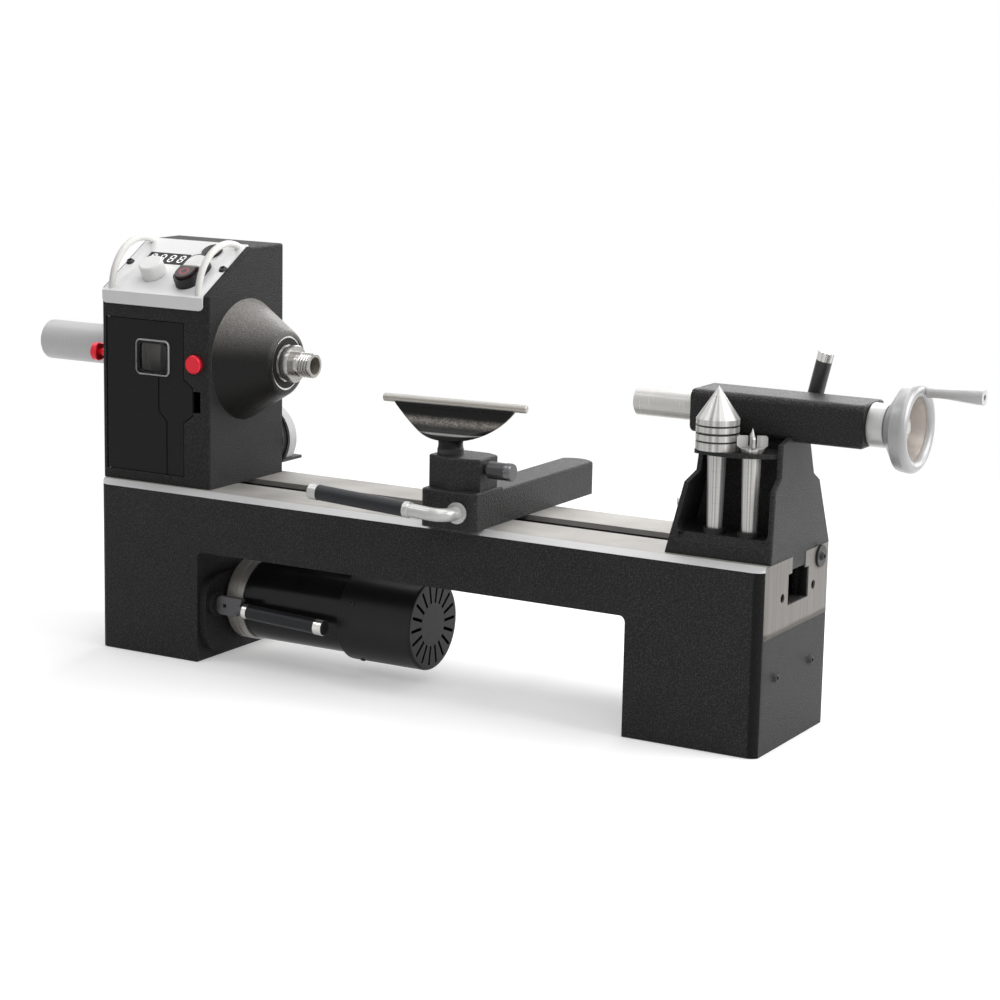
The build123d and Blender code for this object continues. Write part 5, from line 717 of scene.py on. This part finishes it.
def piece(name, points, faces, body, finish):
    """A closed mesh at the origin, faces turned outwards by its signed volume, riding on a body."""
    points = np.asarray(points, dtype=float).reshape(-1, 3)
    mesh = bpy.data.meshes.new(name)
    mesh.from_pydata(points.tolist(), [], faces)
    mesh.calc_loop_triangles()
    triangles = np.empty(3 * len(mesh.loop_triangles), dtype=np.int32)
    mesh.loop_triangles.foreach_get("vertices", triangles)
    a, b, c = points[triangles.reshape(-1, 3).T]
    if np.einsum("ij,ij->i", a, np.cross(b, c)).sum() < 0:
        mesh.flip_normals()
    mesh.materials.append(finish.material)
    mesh.polygons.foreach_set("use_smooth", np.ones(len(mesh.polygons), dtype=bool))
    mesh.set_sharp_from_angle(angle=SHARP)
    thing = bpy.data.objects.new(name, mesh)
    bpy.context.scene.collection.objects.link(thing)
    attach(thing, body)
    return thing


def grid_faces(rows, columns, wrap_rows=False, wrap_columns=False):
    """Quads over a grid of rows by columns, joined end to start where wrapped."""
    i = np.arange(rows if wrap_rows else rows - 1)
    j = np.arange(columns if wrap_columns else columns - 1)
    i, j = np.meshgrid(i, j, indexing="ij")
    below, beside = (i + 1) % rows * columns, (j + 1) % columns
    corners = [i * columns + j, i * columns + beside, below + beside, below + j]
    return np.stack(corners, axis=-1).reshape(-1, 4)


def repeated(faces, copies, points):
    """The same faces for several copies of a shape, each with that many points."""
    shift = (np.arange(copies) * points)[:, None, None]
    return (np.asarray(faces)[None] + shift).reshape(-1, np.shape(faces)[-1]).tolist()


print("mesh helpers ready")

# %% [markdown]
# Each digit has seven bars. One bar is drawn flat, the seven are that bar moved or stood on end,
# and the four digits are the seven moved along the pane.

# %% Digits
DISPLAY_MID = (-18.2, 58.0)
DIGIT_PITCH, BAR, HALF_BAR, BAR_TIP = 12.2, 4.6, 0.75, 0.7
PANE_TOP, BAR_RISE, BAR_SUNK, BAR_GAP, DIGIT_SLANT = 2.4, 0.12, 0.05, 0.35, 0.14
DIGITS, CORNERS = 4, 6
inner = BAR / 2 - BAR_TIP
bar = np.array([[-BAR / 2, 0], [-inner, HALF_BAR], [inner, HALF_BAR],
                [BAR / 2, 0], [inner, -HALF_BAR], [-inner, -HALF_BAR]])
upright = bar[::-1, ::-1]
step = BAR / 2 + BAR_GAP
bars = np.stack([bar + [0, 2 * step], bar, bar - [0, 2 * step],
                 upright + [-step, step], upright + [step, step],
                 upright + [-step, -step], upright + [step, -step]])
places = (np.arange(DIGITS) - (DIGITS - 1) / 2)[:, None, None] * DIGIT_PITCH
across = DISPLAY_MID[0] + places + bars[None, ..., 0] + DIGIT_SLANT * bars[None, ..., 1]
uphill = DISPLAY_MID[1] + np.broadcast_to(bars[None, ..., 1], across.shape)
across, uphill = across.reshape(-1, 1, CORNERS), uphill.reshape(-1, 1, CORNERS)
levels = np.array([PANE_TOP - BAR_SUNK, PANE_TOP + BAR_RISE])[None, :, None]
count = len(across)
walls = repeated(grid_faces(2, CORNERS, wrap_columns=True), count, 2 * CORNERS)
lids = np.arange(2 * CORNERS).reshape(2, CORNERS)
ends = repeated([lids[0, ::-1], lids[1]], count, 2 * CORNERS)
glow = Finish("digit_glow")
glow.set(
    Base_Color=(0.8, 0.8, 0.8),
    Roughness=glow.noise(200.0) * 0.1 + 0.3,
    Emission_Color=glow.mix(glow.noise(90.0), (0.8, 0.82, 0.86), (0.95, 0.96, 1.0)),
    Emission_Strength=0.35,
)
piece("display_digits", on_panel(across, uphill, levels), walls + ends, "machine", glow)
print("digit bars:", count)

# %% [markdown]
# ## Threaded spindle
# The spindle's nose carries a coarse thread. The solid has a plain cylinder there, so the whole
# spindle is drawn again as one turned surface: a closed half-outline swept round the axis, whose
# radius dips by a wave with flat crests that climbs one pitch for each turn. Inside the headstock its
# collar has four holes for the lock pin; there the radius drops nearly to the shank's.

# %% Spindle with its thread
PITCH, DEPTH, THREAD_FLAT, RUN_OUT = 3.175, 1.7, 0.125, 0.5
THREAD_FROM, THREAD_TO, THREAD_ROWS = -174.5, -161.6, 181
LOCK_X, LOCK_HOLE, LOCK_FLOOR, LOCK_SPAN, LOCK_ROWS = -261.2, 5.6, 15.2, 6.0, 25
COLLAR, SHANK, NOSE, HAIR = 22.0, 15.0, 12.7, 0.1
COLUMNS = 128
before = [(-402.5, 5.0), (-402.5, 11.0), (-380.5, 11.0), (-380.5, 12.5), (-363.2, 12.5), (-363.2, 14.0),
          (-304.0, 14.0), (-304.0, SHANK), (-270.2, SHANK), (-270.2, COLLAR)]
between = [(-252.2, COLLAR), (-252.2, SHANK), (-193.7, SHANK), (-193.7, 17.5), (-188.8, 17.5),
           (-188.8, 19.0), (-182.8, 19.0), (-182.0, 18.2), (-182.0, NOSE), (-175.5, NOSE)]
after = [(-161.0, NOSE), (-160.0, NOSE - 1.0), (-160.0, 8.9), (-224.0, 7.3), (-224.0, 5.0)]


def straight(start, stop, rows, radius):
    """A straight stretch of the outline in even rows, fine enough to carry a thread or a hole."""
    return np.stack([np.linspace(start, stop, rows), np.full(rows, radius)], axis=1)


collar = straight(LOCK_X - LOCK_SPAN, LOCK_X + LOCK_SPAN, LOCK_ROWS, COLLAR)
nose = straight(THREAD_FROM, THREAD_TO, THREAD_ROWS, NOSE)
outline = np.concatenate([before, collar, between, nose, after])


def threaded(outline, columns):
    """x = outline x; r = outline r - DEPTH * ramp(x) * V(x / PITCH - t / 2 pi), V a triangle wave
    with flat crests and roots; on the collar r = LOCK_FLOOR within LOCK_HOLE of a quarter turn at LOCK_X;
    (y, z) = r * (sin t, cos t) about the spindle line."""
    t = np.linspace(0.0, 2 * np.pi, columns, endpoint=False)[None]
    x, r = outline[:, :1], outline[:, 1:]
    inside = (x >= THREAD_FROM) & (x <= THREAD_TO) & (r > NOSE - HAIR)
    ramp = np.clip(np.minimum(x - THREAD_FROM, THREAD_TO - x) / RUN_OUT, 0.0, 1.0) * inside
    wave = np.abs(2 * ((x / PITCH - t / (2 * np.pi)) % 1.0) - 1)
    quarter = (t + np.pi / 4) % (np.pi / 2) - np.pi / 4
    hole = (np.hypot(x - LOCK_X, r * quarter) < LOCK_HOLE) & (r > COLLAR - HAIR)
    r = r - DEPTH * ramp * np.clip((1 + 2 * THREAD_FLAT) * wave - THREAD_FLAT, 0.0, 1.0)
    r = np.where(hole, LOCK_FLOOR, r)
    return np.stack(np.broadcast_arrays(x, r * np.sin(t), SPINDLE_Z / MM + r * np.cos(t)), axis=-1) * MM


BORE, BARE_METAL, BORE_SHADE_METAL = 0.0093, 0.85, 0.2
spindle_steel = turned("spindle_steel", (0.44, 0.43, 0.415), 0.19)
bore = length(spindle_steel.y, spindle_steel.z - SPINDLE_Z) < BORE
# Inside the bore the steel is painted a darker brown with less metal: painted shade.
film_and_shade = spindle_steel.mix(spindle_steel.noise(300.0), (0.2, 0.178, 0.15), (0.34, 0.315, 0.28))
spindle_steel.set(
    Base_Color=spindle_steel.mix(bore, spindle_steel.fed("Base Color"), film_and_shade),
    Metallic=BARE_METAL - bore * (BARE_METAL - BORE_SHADE_METAL),
)
faces = grid_faces(len(outline), COLUMNS, True, True).tolist()
points = threaded(outline, COLUMNS)
thread_piece = piece("threaded_spindle", points, faces, "spindle_unit", spindle_steel)
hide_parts("spindle")
print("spindle rows:", len(outline), "columns:", COLUMNS)

# %% [markdown]
# ## Scooped tool rest
# The rest's blade is hollow in front so that the hand can slide below the rod. Its lower edge is one
# even curve from end to end with a thick lip, and a bead runs under the rod. Such a form needs finer
# steps than the solid has: here every column falls from the rod to the curve, follows a circle on
# the face, turns round the lip and climbs the back. A turned neck carries it on the post.

# %% Blade and neck
REST_TURN = math.radians(5.7)
POST_FOOT = np.array([39.5, -65.0, 177.0])
REST_AXES = np.array([
    [math.cos(REST_TURN), math.sin(REST_TURN), 0.0],
    [-math.sin(REST_TURN), math.cos(REST_TURN), 0.0],
    [0.0, 0.0, 1.0],
])
ROD_MID, CRADLE = (8.0, 115.4), 4.15
HOLLOW_MID, HOLLOW_RADIUS = (-20.4, 111.5), 25.6
BLADE_TOP, BLADE_LOW, BLADE_END, BLADE_HALF, BLADE_POWER = 112.65, 86.6, 0.6, 62.0, 2.6
BLADE_THICK, LIP_THICK, LIP_DROP, SQUARE = 6.0, 4.8, 0.8, 0.5
BEAD, BEAD_LOW, BEAD_RAMP = 0.8, 109.2, 0.5
BLADE_COLUMNS, BLADE_ROWS, LIP_ROWS, CRADLE_ROWS = 121, 72, 14, 10


def place_rest(along, behind, rise):
    """Points of the rest: post foot + along * rod direction + behind * its normal + rise * up."""
    return (POST_FOOT + np.stack(np.broadcast_arrays(along, behind, rise), axis=-1) @ REST_AXES) * MM


def blade(columns, rows, lip, cradle):
    """Column u: z falls from the top to low(u) = LOW + (TOP - LOW - END) * |u / HALF| ^ POWER.
    Face at angle a = asin((c - z) / R) on the hollow's circle, moved by the bead along the normal
    (-cos a, sin a); lip a squared half circle; back the face moved by the thickness; rod's cradle."""
    u = BLADE_HALF * np.sin(np.linspace(-np.pi / 2, np.pi / 2, columns))[:, None]
    low = BLADE_LOW + (BLADE_TOP - BLADE_LOW - BLADE_END) * np.abs(u / BLADE_HALF) ** BLADE_POWER
    fall = np.linspace(0.0, 1.0, rows)[None]
    z = BLADE_TOP + (low - BLADE_TOP) * fall
    a = np.arcsin((HOLLOW_MID[1] - z) / HOLLOW_RADIUS)
    face = np.stack([HOLLOW_MID[0] + HOLLOW_RADIUS * np.cos(a), z], axis=-1)
    normal = np.stack([-np.cos(a), np.sin(a)], axis=-1)
    thick = (BLADE_THICK + (LIP_THICK - BLADE_THICK) * fall)[..., None]
    bead = BEAD * np.clip((z - BEAD_LOW) / BEAD_RAMP, 0.0, 1.0)[..., None]
    end, out = a[:, -1:], normal[:, -1:]
    down = np.stack([-np.sin(end), -np.cos(end)], axis=-1)
    turn = np.linspace(0.0, np.pi, lip + 2)[None, 1:-1, None]
    side = np.sign(np.cos(turn)) * np.abs(np.cos(turn)) ** SQUARE
    edge = face[:, -1:] + LIP_THICK / 2 * (out * (side - 1) + LIP_DROP * down * np.sin(turn) ** SQUARE)
    spread = np.arccos((ROD_MID[1] - BLADE_TOP) / CRADLE) * np.linspace(1, -1, cradle)
    seat = np.stack([ROD_MID[0] + CRADLE * np.sin(spread), ROD_MID[1] - CRADLE * np.cos(spread)], axis=-1)
    seat = np.broadcast_to(seat, (columns, cradle, 2))
    loop = np.concatenate([face + bead * normal, edge, (face - thick * normal)[:, ::-1], seat], axis=1)
    return place_rest(u, loop[..., 0], loop[..., 1])


NECK_R = np.array([0.05, 9.05, 9.05, 12.4, 12.1, 11.8, 12.1, 13.2, 14.2, 7.0, 0.05])
NECK_Z = np.array([84.3, 84.3, 73.3, 73.3, 74.3, 77.0, 80.0, 82.0, 84.0, 84.0, 84.0])
NECK_JOIN, NECK_REACH, NECK_COLUMNS = 8, 15.0, 64


def neck(columns):
    """r and z by rows about the post; the last rows rise into the blade, to its middle surface
    z = c - sqrt(R ^ 2 - (s - c) ^ 2) - thickness / 2, with s the distance behind the post."""
    t = np.linspace(0.0, 2 * np.pi, columns, endpoint=False)[None]
    r = NECK_R[:, None]
    s = r * np.cos(t)
    reach = np.maximum(HOLLOW_RADIUS ** 2 - (s - HOLLOW_MID[0]) ** 2, NECK_REACH ** 2)
    joined = (np.arange(len(NECK_R)) >= NECK_JOIN)[:, None]
    z = np.where(joined, HOLLOW_MID[1] - np.sqrt(reach) - LIP_THICK / 2, NECK_Z[:, None])
    return place_rest(r * np.sin(t), s, z)


def capped(rows, columns, first):
    """Faces of a tube of rows by columns whose points start at first, with a lid on each end."""
    points = first + np.arange(rows * columns)
    tube = (grid_faces(rows, columns, wrap_columns=True) + first).tolist()
    return tube + [points[:columns].tolist(), points[-columns:][::-1].tolist()]


sheet, stub = blade(BLADE_COLUMNS, BLADE_ROWS, LIP_ROWS, CRADLE_ROWS), neck(NECK_COLUMNS)
first = sheet.shape[0] * sheet.shape[1]
faces = capped(*sheet.shape[:2], 0) + capped(*stub.shape[:2], first)
points = np.concatenate([sheet.reshape(-1, 3), stub.reshape(-1, 3)])
scoop = piece("scooped_rest", points, faces, "rest", scoop_paint)
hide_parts("tool_rest")
print("rest points:", len(points))

# %% [markdown]
# ## Screws round the fan cover
# Four small socket screws hold the cover to the motor can. One screw is a turned outline, with the
# socket's wall drawn out to a hexagon; the four are copies turned about the motor's axis.

# %% Cover screws
SCREWS, SCREW_X, SCREW_TURN, SCREW_SIDES = 4, -86.0, 26.0, 24
HEAD_R = np.array([0.05, 2.7, 2.7, 2.1, 1.3, 1.3, 0.05])
HEAD_H = np.array([-0.5, -0.5, 0.7, 1.3, 1.4, 0.4, 0.4])
SOCKET_ROWS = (4, 5)


def socket_screw(turn):
    """r(u, t) from the head's outline, times 1 / cos of the angle to the nearest flat in the socket."""
    t = np.linspace(0, 2 * np.pi, SCREW_SIDES, endpoint=False)[None]
    flat = (t + np.pi / 6) % (np.pi / 3) - np.pi / 6
    hexed = np.isin(np.arange(len(HEAD_R)), SOCKET_ROWS)[:, None]
    r = HEAD_R[:, None] * np.where(hexed, 1 / np.cos(flat), 1.0)
    away = np.array([0.0, -np.cos(turn), np.sin(turn)])
    along = np.array([1.0, 0.0, 0.0])
    seat = np.array([SCREW_X, 0.0, MOTOR_Z]) + away * COVER_RADIUS
    rim = r[..., None] * (np.cos(t)[..., None] * along + np.sin(t)[..., None] * np.cross(away, along))
    return (seat + rim + HEAD_H[:, None, None] * away) * MM


turns = np.radians(SCREW_TURN + 360.0 / SCREWS * np.arange(SCREWS))
heads = np.stack([socket_screw(turn) for turn in turns])
points = np.arange(len(HEAD_R) * SCREW_SIDES)
caps = repeated([points[:SCREW_SIDES][::-1], points[-SCREW_SIDES:]], SCREWS, len(points))
walls = repeated(grid_faces(len(HEAD_R), SCREW_SIDES, wrap_columns=True), SCREWS, len(points))
piece("cover_screws", heads, walls + caps, "motor", oxide)
print("cover screws:", SCREWS)

# %% [markdown]
# ## Floor, light and camera
# A product photograph on white has a bright sheet that runs from the floor up behind the object.
# Away from the lathe the floor shows plain white to the camera, and to reflections and glass too, so
# that metal mirrors the same sheet. Close to the lathe it is lit paper, which takes the shadow.

# %% Floor
FLOOR_HALF, FLOOR_DROP = 6.0, 0.0006
LIT_WITHIN, WHITE_BEYOND, NEAR_GLOW = 0.75, 1.5, 0.34
BLACK, WHITE = (0.0, 0.0, 0.0), (1.0, 1.0, 1.0)
corners = np.array([[-1, -1], [1, -1], [1, 1], [-1, 1]]) * FLOOR_HALF
corners = np.column_stack([corners, np.full(len(corners), -FLOOR_DROP)])
ground = bpy.data.meshes.new("floor")
ground.from_pydata(corners.tolist(), [], [(0, 1, 2, 3)])
floor = bpy.data.objects.new("floor", ground)
bpy.context.scene.collection.objects.link(floor)

paper = Finish("floor_paper")
seen = paper.seen()
far = paper.between(length(paper.x, paper.y), LIT_WITHIN, WHITE_BEYOND)
sheet = paper.mix(paper.noise(3.0), (0.78, 0.78, 0.78), (0.82, 0.82, 0.82))
paper.set(
    Base_Color=paper.mix(far * seen, sheet, BLACK),
    Roughness=paper.noise(60.0) * 0.1 + 0.85,
    Specular_IOR_Level=0.0,
    Emission_Color=paper.mix(seen * (far * (1 - NEAR_GLOW) + NEAR_GLOW), BLACK, WHITE),
    Emission_Strength=1.0,
)
ground.materials.append(paper.material)
print("floor ready")

# %% [markdown]
# The world is the backdrop. Its brightness depends on who asks: the camera, reflections and glass see
# white, and plain surfaces get a low, even light, so that the lamps shape them.

# %% World
AMBIENT = 0.14
world = bpy.data.worlds.new("studio")
bpy.context.scene.world = world
world.use_nodes = True


class Sky(Finish):
    """The world's own web of nodes, with the same arithmetic."""

    def __init__(self, world):
        self.tree = world.node_tree
        self.shader = self.tree.nodes["Background"]


sky = Sky(world)
seen = sky.seen()
sky.set(Color=WHITE, Strength=seen + (1 - seen) * AMBIENT)
print("world ready")

# %% [markdown]
# Large soft lamps stand right, behind and above, as in a product studio. The ones above draw the
# broad sheen on the cone; the two in front fill the shadows and put lights into round metal.

# %% Lamps
AIM = (0.0, 0.0, 0.2)


def softbox(name, place, size, power):
    """Square area lamp that looks from a place to the lathe's middle."""
    lamp = bpy.data.lights.new(name, "AREA")
    lamp.shape = "SQUARE"
    lamp.size = size
    lamp.energy = power
    box = bpy.data.objects.new(name, lamp)
    box.visible_camera = False
    bpy.context.scene.collection.objects.link(box)
    back = np.array(place) - np.array(AIM)
    back = back / np.linalg.norm(back)
    right = np.cross([0.0, 0.0, 1.0], back)
    right = right / np.linalg.norm(right)
    matrix = np.eye(4)
    matrix[:3, :3] = np.stack([right, np.cross(back, right), back], axis=1)
    matrix[:3, 3] = place
    box.matrix_world = Matrix(matrix.tolist())


softbox("key_right", (2.4, 0.4, 1.5), 1.9, 60.0)
softbox("top", (0.5, -0.1, 2.4), 1.5, 15.5)
softbox("top_left", (-1.3, 0.35, 2.1), 1.3, 10.0)
softbox("overhead", (-0.3, 1.0, 2.3), 0.9, 9.0)
softbox("back", (-0.3, 2.4, 1.6), 1.7, 28.0)
softbox("back_right", (1.6, 2.5, 0.8), 1.4, 18.0)
softbox("front_left", (-1.1, -1.0, 1.9), 0.5, 4.0)
softbox("front_right", (1.2, -1.5, 2.0), 1.2, 8.0)
print("lamps ready")

# %% [markdown]
# The camera stands where the photograph was taken: a little to the right, slightly above, far off
# and with a long lens, tilted by about one degree.

# %% Camera
AZIMUTH, ELEVATION, ROLL = math.radians(29.72), math.radians(11.07), math.radians(1.13)
TARGET = np.array([0.05769, 0.0, 0.19126])
DISTANCE, LENS, SENSOR = 2.53565, 93.61, 36.0
lens_data = bpy.data.cameras.new("camera")
lens_data.sensor_width = SENSOR
lens_data.lens = LENS
camera = bpy.data.objects.new("camera", lens_data)
bpy.context.scene.collection.objects.link(camera)
level = math.cos(ELEVATION)
back = np.array([math.sin(AZIMUTH) * level, -math.cos(AZIMUTH) * level, math.sin(ELEVATION)])
right = np.array([math.cos(AZIMUTH), math.sin(AZIMUTH), 0.0])
up = np.cross(back, right)
pose = np.eye(4)
pose[:3, 0] = right * math.cos(ROLL) + up * math.sin(ROLL)
pose[:3, 1] = up * math.cos(ROLL) - right * math.sin(ROLL)
pose[:3, 2] = back
pose[:3, 3] = TARGET + back * DISTANCE
camera.matrix_world = Matrix(pose.tolist())
bpy.context.scene.camera = camera
bpy.context.scene.view_settings.view_transform = "Standard"
print("camera at", pose[:3, 3].round(4).tolist())
